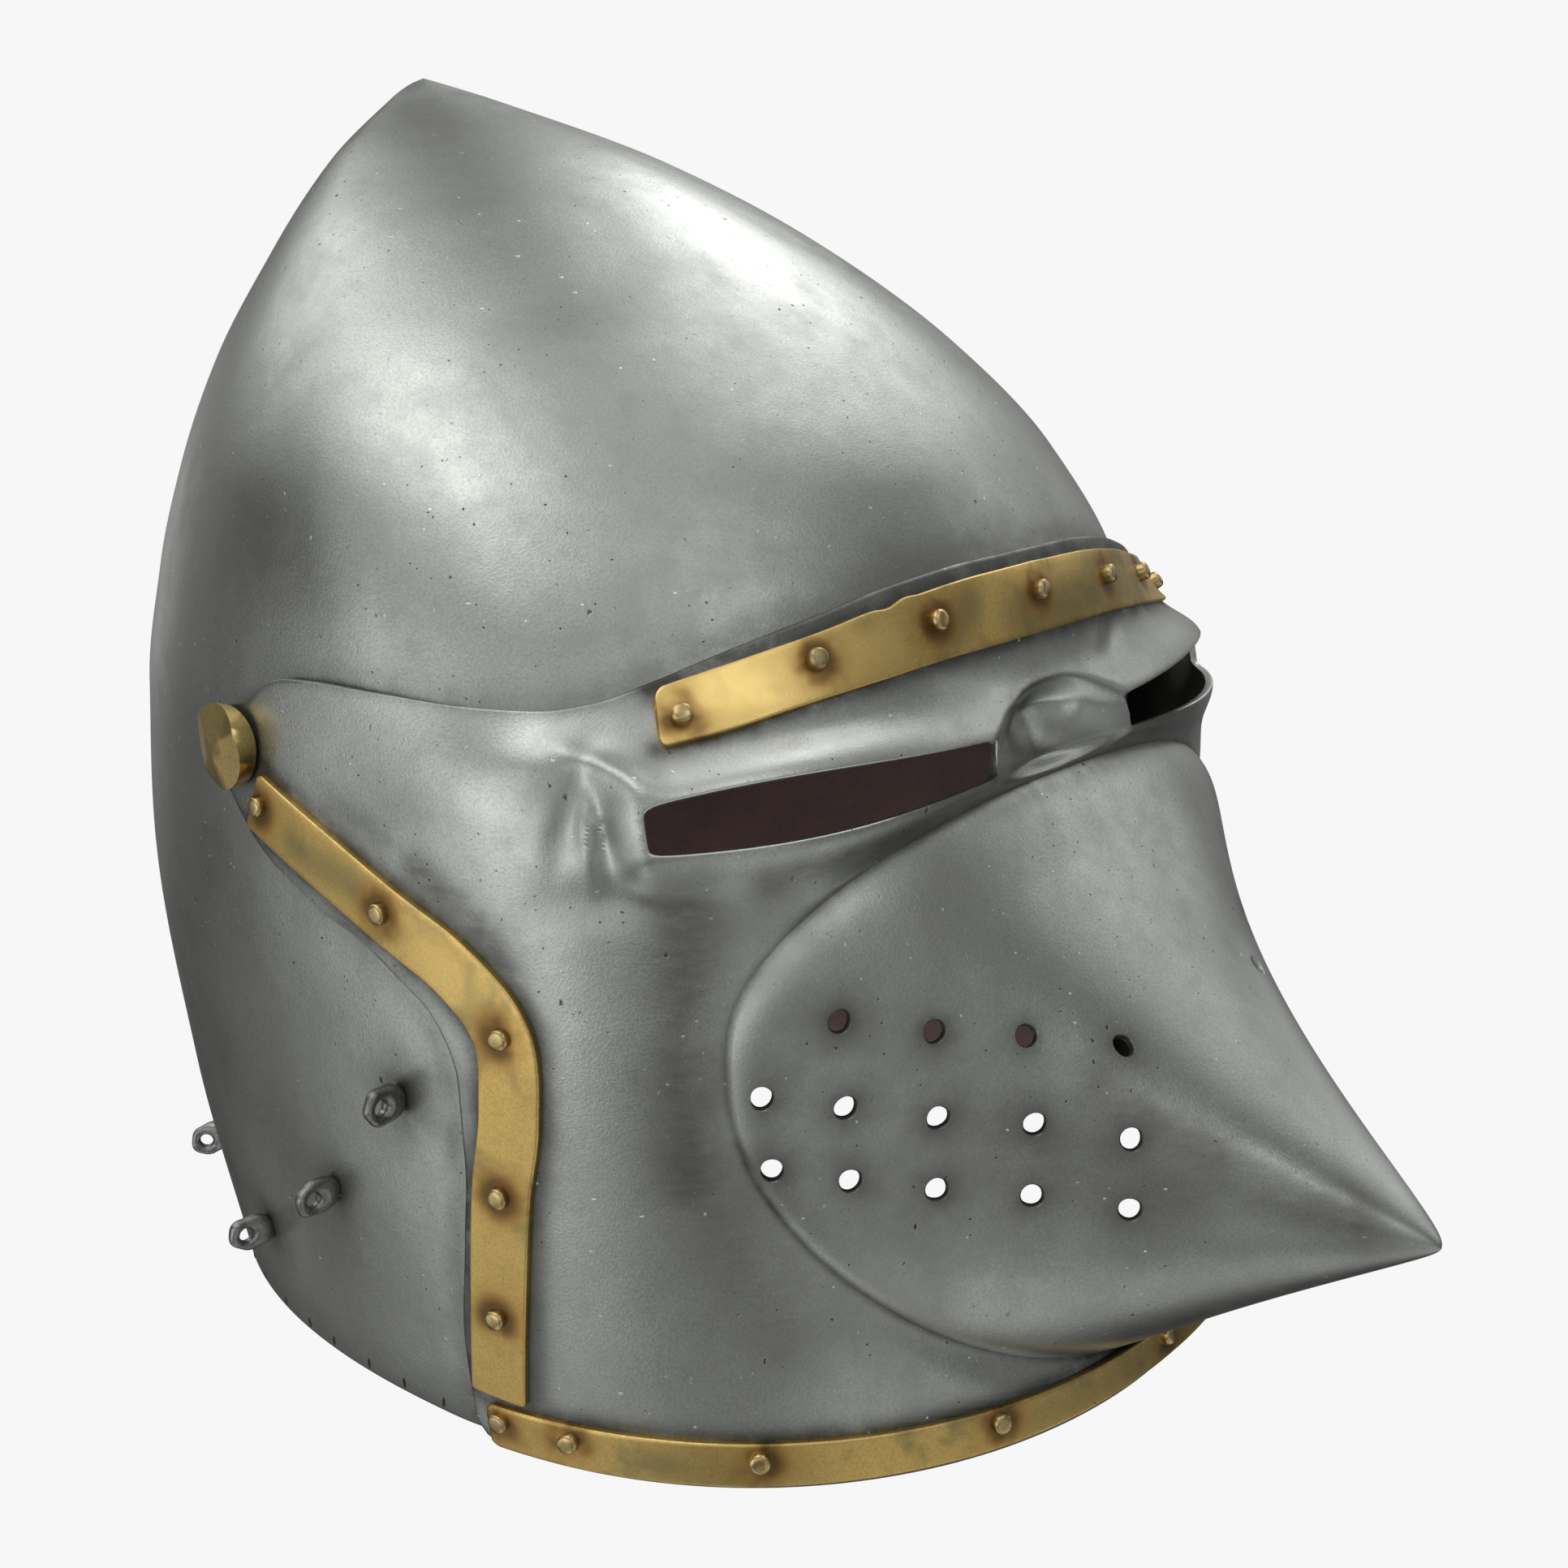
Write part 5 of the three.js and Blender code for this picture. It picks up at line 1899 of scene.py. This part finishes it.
class Shader(Wiring):
    """A finish being wired, with a short method for each kind of pattern."""

    def __init__(self, name: str) -> None:
        """Starts a material with its surface shader and the Object coordinates.

        Args:
            name: the material's name.
        """
        self.material = bpy.data.materials.new(name)
        self.material.use_nodes = True
        super().__init__(self.material.node_tree)
        self.surface = self.tree.nodes["Principled BSDF"]
        self.place = self.node("TexCoord").outputs["Object"]

    def finished(self, feeds: dict[str, object]) -> Material:
        """Ends the finish.

        Args:
            feeds: the surface shader's inputs, by their names.

        Returns:
            The material.
        """
        for name, value in feeds.items():
            self.feed(value, self.surface.inputs[name])
        return self.material

    def metal(self, colour: Socket, rough: Socket, relief: Socket) -> Material:
        """Ends a metal's finish."""
        return self.finished(
            {"Base Color": colour, "Metallic": 1.0, "Roughness": rough, "Normal": relief})

    def stretched(self, scale: Sequence[float], turn: Sequence[float],
                  source: Socket | None = None) -> Socket:
        """Coordinates turned by degrees and then stretched."""
        feeds = {"Vector": source or self.place, "Rotation": np.radians(turn), "Scale": scale}
        return self.node("Mapping", feeds).outputs[0]

    def ragged(self, size: float, shift: float) -> Socket:
        """Coordinates pushed about by noise, so that what is drawn on them has uneven outlines.

        Args:
            size: the noise's size in millimetres.
            shift: the farthest push in millimetres.

        Returns:
            The new coordinates.
        """
        noise = self.node("TexNoise", {"Vector": self.place, "Scale": 1 / (size * MM)})
        push = {0: noise.outputs["Color"], 1: (shift * MM,) * 3, 2: self.place}
        return self.node("VectorMath", push, operation="MULTIPLY_ADD").outputs[0]

    def noise(self, size: float, detail: float = 3.0, rough: float = 0.55, distortion: float = 0.0,
              source: Socket | None = None) -> Socket:
        """Makes cloudy noise.

        Args:
            size: about how large its blobs are, in millimetres.
            detail: how many finer layers it has.
            rough: how strong the finer layers are.
            distortion: how far it is drawn into swirls.
            source: other coordinates than the object's.

        Returns:
            The noise, from 0 to 1.
        """
        feeds = {"Vector": source or self.place, "Scale": 1 / (size * MM), "Detail": detail,
                 "Roughness": rough, "Distortion": distortion}
        return self.node("TexNoise", feeds).outputs["Fac"]

    def level(self, value: Socket, low: float, high: float, start: float = 0.0,
              end: float = 1.0) -> Socket:
        """A smooth step of a value from low to high, written between start and end."""
        feeds = {"Value": value, "From Min": low, "From Max": high, "To Min": start, "To Max": end}
        return self.node("MapRange", feeds, interpolation_type="SMOOTHSTEP").outputs["Result"]

    def spots(self, spacing: float, radius: float, share: float,
              source: Socket | None = None) -> Socket:
        """Scattered spots: Voronoi cells of a spacing, few of which hold a spot of a radius.

        Args:
            spacing: the size of a cell in millimetres.
            radius: the spot's radius in millimetres.
            share: the share of cells that hold one.
            source: other coordinates than the object's.

        Returns:
            1 in a spot and 0 outside.
        """
        feeds = {"Vector": source or self.place, "Scale": 1 / (spacing * MM)}
        cells = self.node("TexVoronoi", feeds)
        parts = self.node("SeparateColor", {0: cells.outputs["Color"]})
        chosen = self.maths("GREATER_THAN", parts.outputs[0], 1 - share)
        inside = self.level(cells.outputs["Distance"], radius / spacing, 0.45 * radius / spacing)
        return self.maths("MULTIPLY", inside, chosen)

    def attribute(self, name: str) -> Socket:
        """A number that was written on the mesh's points."""
        return self.node("Attribute", attribute_name=name).outputs["Fac"]

    def blend(self, share: object, a: object, b: object) -> Socket:
        """A colour between two, by a share from 0 to 1."""
        feeds = {"Factor": share, "A": a, "B": b}
        return self.node("Mix", feeds, data_type="RGBA").outputs["Result"]

    def bump(self, height: Socket, depth: float, normal: Socket | None = None) -> Socket:
        """Lays a relief over an earlier one.

        Args:
            height: the relief, from 0 to 1.
            depth: its depth in millimetres.
            normal: the earlier one.

        Returns:
            The normal of both.
        """
        feeds = {"Distance": depth * MM, "Height": height}
        if normal is not None:
            feeds["Normal"] = normal
        return self.node("Bump", feeds).outputs["Normal"]

    def dents(self, spots: Socket, depth: float, normal: Socket) -> Socket:
        """Spots sunk by a depth in millimetres into an earlier relief."""
        return self.bump(self.maths("SUBTRACT", 1.0, spots), depth, normal)


def rgb(red: float, green: float, blue: float) -> Colour:
    """A colour for a socket, with full cover."""
    return (red, green, blue, 1.0)


@dataclass(frozen=True)
class SteelFinish:
    """Old satin steel: cloudy and grainy, with dark pits, bright nicks and faint scratches."""

    name: str
    light: Colour = rgb(0.53, 0.55, 0.515)
    dark: Colour = rgb(0.33, 0.34, 0.322)
    # Dark for grime and painted shade.
    grime_and_shade: Colour = rgb(0.075, 0.078, 0.072)
    # Dark for clouds of painted shade and stain.
    shade_and_stain: Colour = rgb(0.12, 0.122, 0.115)
    # Bright for wear and painted highlights.
    worn: Colour = rgb(0.80, 0.83, 0.80)
    rough: float = 0.29
    rough_clouds: float = 0.08
    cloud_size: float = 46.0
    mottle_size: float = 7.5
    grain_size: float = 0.55
    pits: tuple = (6.5, 0.5, 0.6)
    pit_depth: float = 0.13
    specks: tuple = (2.6, 0.3, 0.5)
    nicks: tuple = (3.4, 0.34, 0.45)
    nick_height: float = 0.07
    scratch: float = 0.45
    marked: bool = True

    def material(self) -> Material:
        """Wires the finish.

        Colour goes from light to dark by clouds of two sizes, then to grime and painted shade, to
        clouds of painted shade and stain, and to bright wear and painted highlights by the mesh's
        own attributes, and pits, nicks and scratches are scattered over it.

        Returns:
            The material.
        """
        sh = Shader(self.name)
        clouds = sh.noise(self.cloud_size, 4, 0.6, 0.35)
        mottle = sh.noise(self.mottle_size, 5, 0.62)
        grain = sh.noise(self.grain_size, 2, 0.65)
        cloudy = sh.maths("ADD", sh.level(clouds, 0.38, 0.68, 0, 0.55),
                          sh.level(mottle, 0.42, 0.75, 0, 0.25))
        colour = sh.blend(cloudy, self.light, self.dark)
        colour = sh.blend(sh.level(grain, 0.3, 0.75, 0, 0.6), colour, self.dark)
        rough = sh.level(clouds, 0.3, 0.75, self.rough, self.rough + self.rough_clouds)
        rough = sh.maths("ADD", rough, sh.level(mottle, 0.3, 0.8, 0, 0.06))
        lumps = sh.bump(sh.noise(34, 1, 0.4), 0.5)
        relief = sh.bump(grain, 0.04, sh.bump(sh.noise(10, 2, 0.5), 0.10, lumps))
        if self.marked:
            # Grime and painted shade, then clouds of painted shade and stain, then wear and painted
            # highlights.
            grime_and_shade = sh.maths("MULTIPLY", sh.attribute("grime_and_shade"), sh.level(mottle, 0.2, 0.62, 0.6, 1))
            colour = sh.blend(grime_and_shade, colour, self.grime_and_shade)
            rough = sh.maths("ADD", rough, sh.maths("MULTIPLY", grime_and_shade, 0.16))
            colour = sh.blend(self.uneven_shade_and_stain(sh, clouds), colour, self.shade_and_stain)
            colour = sh.blend(sh.attribute("worn"), colour, self.worn)
        torn = sh.ragged(0.8, 0.9)
        crowd = sh.level(sh.noise(26, 2), 0.4, 0.6, 0.25, 1)
        pits = sh.spots(*self.pits, sh.stretched((1, 1, 0.55), (14, 25, 40), torn))
        pits = sh.maths("MULTIPLY", sh.maths("ADD", pits, sh.spots(*self.specks, torn)), crowd)
        colour = sh.blend(pits, colour, self.grime_and_shade)
        relief = sh.dents(pits, self.pit_depth, relief)
        nicks = sh.spots(*self.nicks, sh.stretched((1, 0.6, 1), (40, 10, 75), torn))
        colour = sh.blend(sh.maths("MULTIPLY", nicks, crowd), colour, self.worn)
        relief = sh.bump(nicks, self.nick_height, relief)
        colour = sh.blend(self.scratches(sh), colour, self.worn)
        return sh.metal(colour, rough, relief)

    @staticmethod
    def uneven_shade_and_stain(sh: Shader, clouds: Socket) -> Socket:
        """Makes the mesh's own clouds of painted shade and stain uneven, by a brushed noise and by
        the steel's large clouds.

        Args:
            sh: the finish being wired.
            clouds: the steel's large clouds.

        Returns:
            How strongly the painted shade and stain darken the steel, from 0 to 1.
        """
        brushed = sh.noise(1.6, 3, 0.6, 0, sh.stretched((0.3, 0.3, 1), (0, 0, 0)))
        uneven = sh.maths("MULTIPLY", sh.level(brushed, 0.3, 0.65, 0.8, 1),
                          sh.level(clouds, 0.3, 0.6, 0.65, 1))
        return sh.maths("MULTIPLY", sh.attribute("cloud"), uneven)

    def scratches(self, sh: Shader) -> Socket:
        """Draws faint hairline scratches: long thin Voronoi spots in two directions.

        Args:
            sh: the finish being wired.

        Returns:
            How bright they are, from 0 to 1.
        """
        first = sh.spots(11, 0.3, 0.6, sh.stretched((1, 0.05, 1), (20, 35, 25)))
        second = sh.spots(10, 0.28, 0.6, sh.stretched((1, 1, 0.05), (65, 20, 10)))
        return sh.maths("MULTIPLY", sh.maths("ADD", first, second), self.scratch)


@dataclass(frozen=True)
class BrassFinish:
    """Aged brass: golden, with brown and orange tarnish and painted contact shade round the rivets,
    painted highlights and dull olive patches.
    """

    name: str
    gold: Colour = rgb(0.72, 0.50, 0.165)
    olive: Colour = rgb(0.27, 0.23, 0.11)
    orange: Colour = rgb(0.46, 0.25, 0.07)
    # Brown: pits, and the dark core of the tarnish, which is partly painted contact shade.
    brown: Colour = rgb(0.12, 0.07, 0.03)
    # Bright: wear and painted highlights.
    bright: Colour = rgb(1.0, 0.74, 0.28)
    rough: float = 0.33
    rough_clouds: float = 0.16
    cloud_size: float = 17.0
    mottle_size: float = 2.6
    grain_size: float = 0.5
    pits: tuple = (3.4, 0.24, 0.10)
    pit_depth: float = 0.1
    marked: bool = True
    olive_share: float = 0.75

    def material(self) -> Material:
        """Wires the finish: gold and olive clouds, then the mesh's painted highlights, patina,
        tarnish with painted contact shade, and wear.

        Returns:
            The material.
        """
        sh = Shader(self.name)
        clouds = sh.noise(self.cloud_size, 3, 0.6, 0.3)
        mottle = sh.noise(self.mottle_size, 4, 0.65)
        grain = sh.noise(self.grain_size, 2, 0.6)
        colour = sh.blend(sh.level(clouds, 0.47, 0.68, 0, self.olive_share), self.gold, self.olive)
        colour = sh.blend(sh.level(mottle, 0.5, 0.8, 0, 0.3), colour, self.orange)
        colour = sh.blend(sh.level(grain, 0.35, 0.8, 0, 0.45), colour, self.olive)
        rough = sh.level(clouds, 0.35, 0.7, self.rough, self.rough + self.rough_clouds)
        if self.marked:
            # Painted highlights, then olive patina.
            colour = sh.blend(sh.attribute("painted_highlight"), colour, self.bright)
            colour = sh.blend(sh.level(sh.attribute("patina"), 0.1, 1, 0, 0.8), colour, self.olive)
            # Orange tarnish round the rivets; its dark brown core is partly painted contact shade.
            ragged = sh.maths("MULTIPLY", sh.attribute("tarnish"),
                              sh.level(sh.noise(9, 2), 0.3, 0.6, 0.55, 1))
            colour = sh.blend(sh.level(ragged, 0.1, 0.75, 0, 0.7), colour, self.orange)
            colour = sh.blend(sh.level(ragged, 0.4, 1.0, 0, 0.85), colour, self.brown)
            edge = sh.maths("MULTIPLY", sh.attribute("worn"), sh.level(mottle, 0.4, 0.65, 0, 0.4))
            colour = sh.blend(edge, colour, self.bright)
        pits = sh.spots(*self.pits)
        colour = sh.blend(pits, colour, self.brown)
        relief = sh.bump(grain, 0.02, sh.bump(sh.noise(7, 2, 0.5), 0.07))
        relief = sh.dents(pits, self.pit_depth, relief)
        return sh.metal(colour, rough, relief)


@dataclass(frozen=True)
class TwillFinish:
    """Dark reddish brown twill: fine slanting ribs with a soft, dull face."""

    name: str = "lining_twill"
    rib: Colour = rgb(0.24, 0.145, 0.132)
    groove: Colour = rgb(0.04, 0.022, 0.021)
    rib_width: float = 0.55
    rib_height: float = 0.12
    rough: float = 0.92
    sheen: float = 0.25

    def material(self) -> Material:
        """Wires the twill on the cloth's own coordinates, which are in millimetres.

        Returns:
            The material.
        """
        sh = Shader(self.name)
        cloth = sh.node("UVMap", uv_map="cloth").outputs[0]
        ribs = {"Vector": cloth, "Scale": 0.5 / self.rib_width, "Distortion": 0.5, "Detail": 1.0}
        wave = sh.node("TexWave", ribs, wave_type="BANDS", bands_direction="DIAGONAL")
        height = wave.outputs["Fac"]
        colour = sh.blend(sh.level(height, 0.2, 0.8), self.groove, self.rib)
        colour = sh.blend(sh.level(sh.noise(24, 3), 0.35, 0.75, 0, 0.35), colour, self.groove)
        return sh.finished({"Base Color": colour, "Roughness": self.rough,
                            "Sheen Weight": self.sheen, "Normal": sh.bump(height, self.rib_height)})


@dataclass(frozen=True)
class ThreadFinish:
    """Waxed dark thread, a little fuzzy."""

    name: str = "hem_thread"
    light: Colour = rgb(0.045, 0.035, 0.03)
    dark: Colour = rgb(0.012, 0.01, 0.009)
    rough: float = 0.8

    def material(self) -> Material:
        """Wires the thread: two browns by fine noise, and a low relief.

        Returns:
            The material.
        """
        sh = Shader(self.name)
        fibres = sh.noise(0.4, 3)
        return sh.finished({"Base Color": sh.blend(fibres, self.light, self.dark),
                            "Roughness": self.rough, "Normal": sh.bump(fibres, 0.08)})


@dataclass
class Studio:
    """A pale seamless floor, the soft lights round the helmet, and the camera.

    The lights are bells of brightness on the studio's walls: at an angle a from its middle each is
    strength times exp(sharpness (cos a - 1)).
    """

    eye: tuple[float, float, float] = (-0.3762, -0.2903, 0.2398)
    back: tuple[float, float, float] = (-0.7612, -0.5924, 0.2639)
    lens: float = 50.0
    sensor: float = 36.0
    pale: float = 0.93
    fill: float = 0.015
    gain: float = 2.2
    floor_reach: float = 12.0
    lights: Table = STUDIO_LIGHTS

    def build(self) -> None:
        """Makes the floor, the studio's walls with their lights, and the camera."""
        self.floor()
        self.walls()
        self.camera()

    def floor(self) -> None:
        """A wide pale floor on the hem's plane, as bright as the walls so that no horizon shows.

        The steel mirrors the studio's lights in its place.
        """
        mesh = bpy.data.meshes.new("floor")
        far = self.floor_reach
        corners = [(-far, -far, 0), (far, -far, 0), (far, far, 0), (-far, far, 0)]
        mesh.from_pydata(corners, [], [(0, 1, 2, 3)])
        floor = Builder.linked("floor", mesh)
        floor.visible_glossy = floor.visible_shadow = False
        mesh.materials.append(Shader("pale_floor").finished({
            "Base Color": rgb(0, 0, 0), "Specular IOR Level": 0.0,
            "Emission Color": rgb(1, 1, 1), "Emission Strength": self.pale}))

    def walls(self) -> None:
        """The studio's walls: pale to look at, and as a light the fill and the bells together."""
        world = bpy.data.worlds.new("studio")
        bpy.context.scene.world = world
        world.use_nodes = True
        wiring = Wiring(world.node_tree)
        wiring.tree.nodes.clear()
        sky = wiring.node("TexCoord").outputs["Generated"]
        total: object = self.fill * self.gain
        for azimuth, elevation, sharpness, strength in self.lights.rows:
            a, e = np.radians(azimuth), np.radians(elevation)
            towards = (np.sin(a) * np.cos(e), -np.cos(a) * np.cos(e), np.sin(e))
            facing = wiring.node("VectorMath", {0: sky, 1: towards}, operation="DOT_PRODUCT")
            fall = wiring.maths("MULTIPLY_ADD", facing.outputs["Value"], sharpness, -sharpness)
            glow = wiring.maths("EXPONENT", fall)
            total = wiring.maths("MULTIPLY_ADD", glow, strength * self.gain, total)
        seen = wiring.node("LightPath").outputs["Is Camera Ray"]
        mix = wiring.node("Mix", {"Factor": seen, "A": total, "B": self.pale})
        feeds = {"Color": rgb(1, 1, 1), "Strength": mix.outputs["Result"]}
        wiring.node("OutputWorld", {0: wiring.node("Background", feeds).outputs[0]})

    def camera(self) -> None:
        """The camera, where the photograph was taken from."""
        data = bpy.data.cameras.new("camera")
        data.lens = self.lens
        data.sensor_width = self.sensor
        data.clip_start, data.clip_end = 0.02, 60
        camera = Builder.linked("camera", data)
        camera.location = self.eye
        camera.rotation_mode = "QUATERNION"
        camera.rotation_quaternion = (-Vector(self.back)).to_track_quat("-Z", "Y")
        bpy.context.scene.camera = camera
        bpy.context.scene.view_settings.view_transform = "Standard"


def main() -> None:
    """Builds the studio and then every piece, from the skull outwards."""
    logging.basicConfig(level=logging.INFO, format="%(message)s")
    Studio().build()
    steel = SteelFinish("satin_steel").material()
    forged = SteelFinish("forged_steel", light=rgb(0.34, 0.34, 0.33), dark=rgb(0.13, 0.13, 0.13),
                         rough=0.3, cloud_size=5.0, marked=False).material()
    brass = BrassFinish("aged_brass").material()
    rivet_brass = BrassFinish("rivet_brass", gold=rgb(0.56, 0.42, 0.19),
                              olive=rgb(0.24, 0.20, 0.12), rough=0.22, marked=False,
                              olive_share=0.5).material()
    bolt_brass = BrassFinish("bolt_brass", gold=rgb(0.66, 0.50, 0.20), rough=0.27, marked=False,
                             olive_share=0.45).material()
    skull_skin, opening = SkullSkin(), FaceOpening()
    visor_skin = VisorSkin(skull_skin)

    loop = NeckLoop(skull_skin)
    feet = []
    for side in Side:
        for k, (back, height) in enumerate(NECK_LOOPS.rows, 1):
            node = f"neck_loop_{side.word}_{k}"
            made = loop.build(node + "_eye", side, back, height, 10 * k + side.value)
            Builder.hand_over(made, "skull", "dark_steel", forged, [node])
            feet.append(loop.foot(side, back, height)[0])

    visor = VisorPlate(visor_skin)
    skull = SkullPlate(skull_skin, opening)
    skull.dress(skull.build(), steel, np.array(feet), visor.edge_line()[0])
    lining = Lining(skull_skin, opening)
    lining.dress(lining.build(), TwillFinish().material())
    Builder.hand_over(HemStitches(skull_skin).build(), "skull", "lining", ThreadFinish().material())

    bands = BandSet(visor_skin)
    strips = bands.bands()
    visor.dress(visor.build(), steel, np.vstack([band.edges() for band in strips]))

    seats = {}
    for seed, (node, (band, t, z, height)) in enumerate(bands.rivet_places().items(), 100):
        seat = visor_skin.raised(t, z, bands.rivet_seat)
        normal = visor_skin.outward(t, z)
        made = Rivet().build(node + "_head", seat, normal, height, seed)
        Builder.hand_over(made, "visor", "rivet_brass", rivet_brass, [node])
        seats.setdefault(band, []).append(seat)
    for band in strips:
        band.dress(band.build(), brass, np.array(seats[band.name]))

    bolt = PivotBolt(visor_skin)
    for side in Side:
        node = "pivot_bolt_" + side.word
        Builder.hand_over(bolt.build(side), "skull", "brass", bolt_brass, [node])


if __name__ == "__main__":
    main()
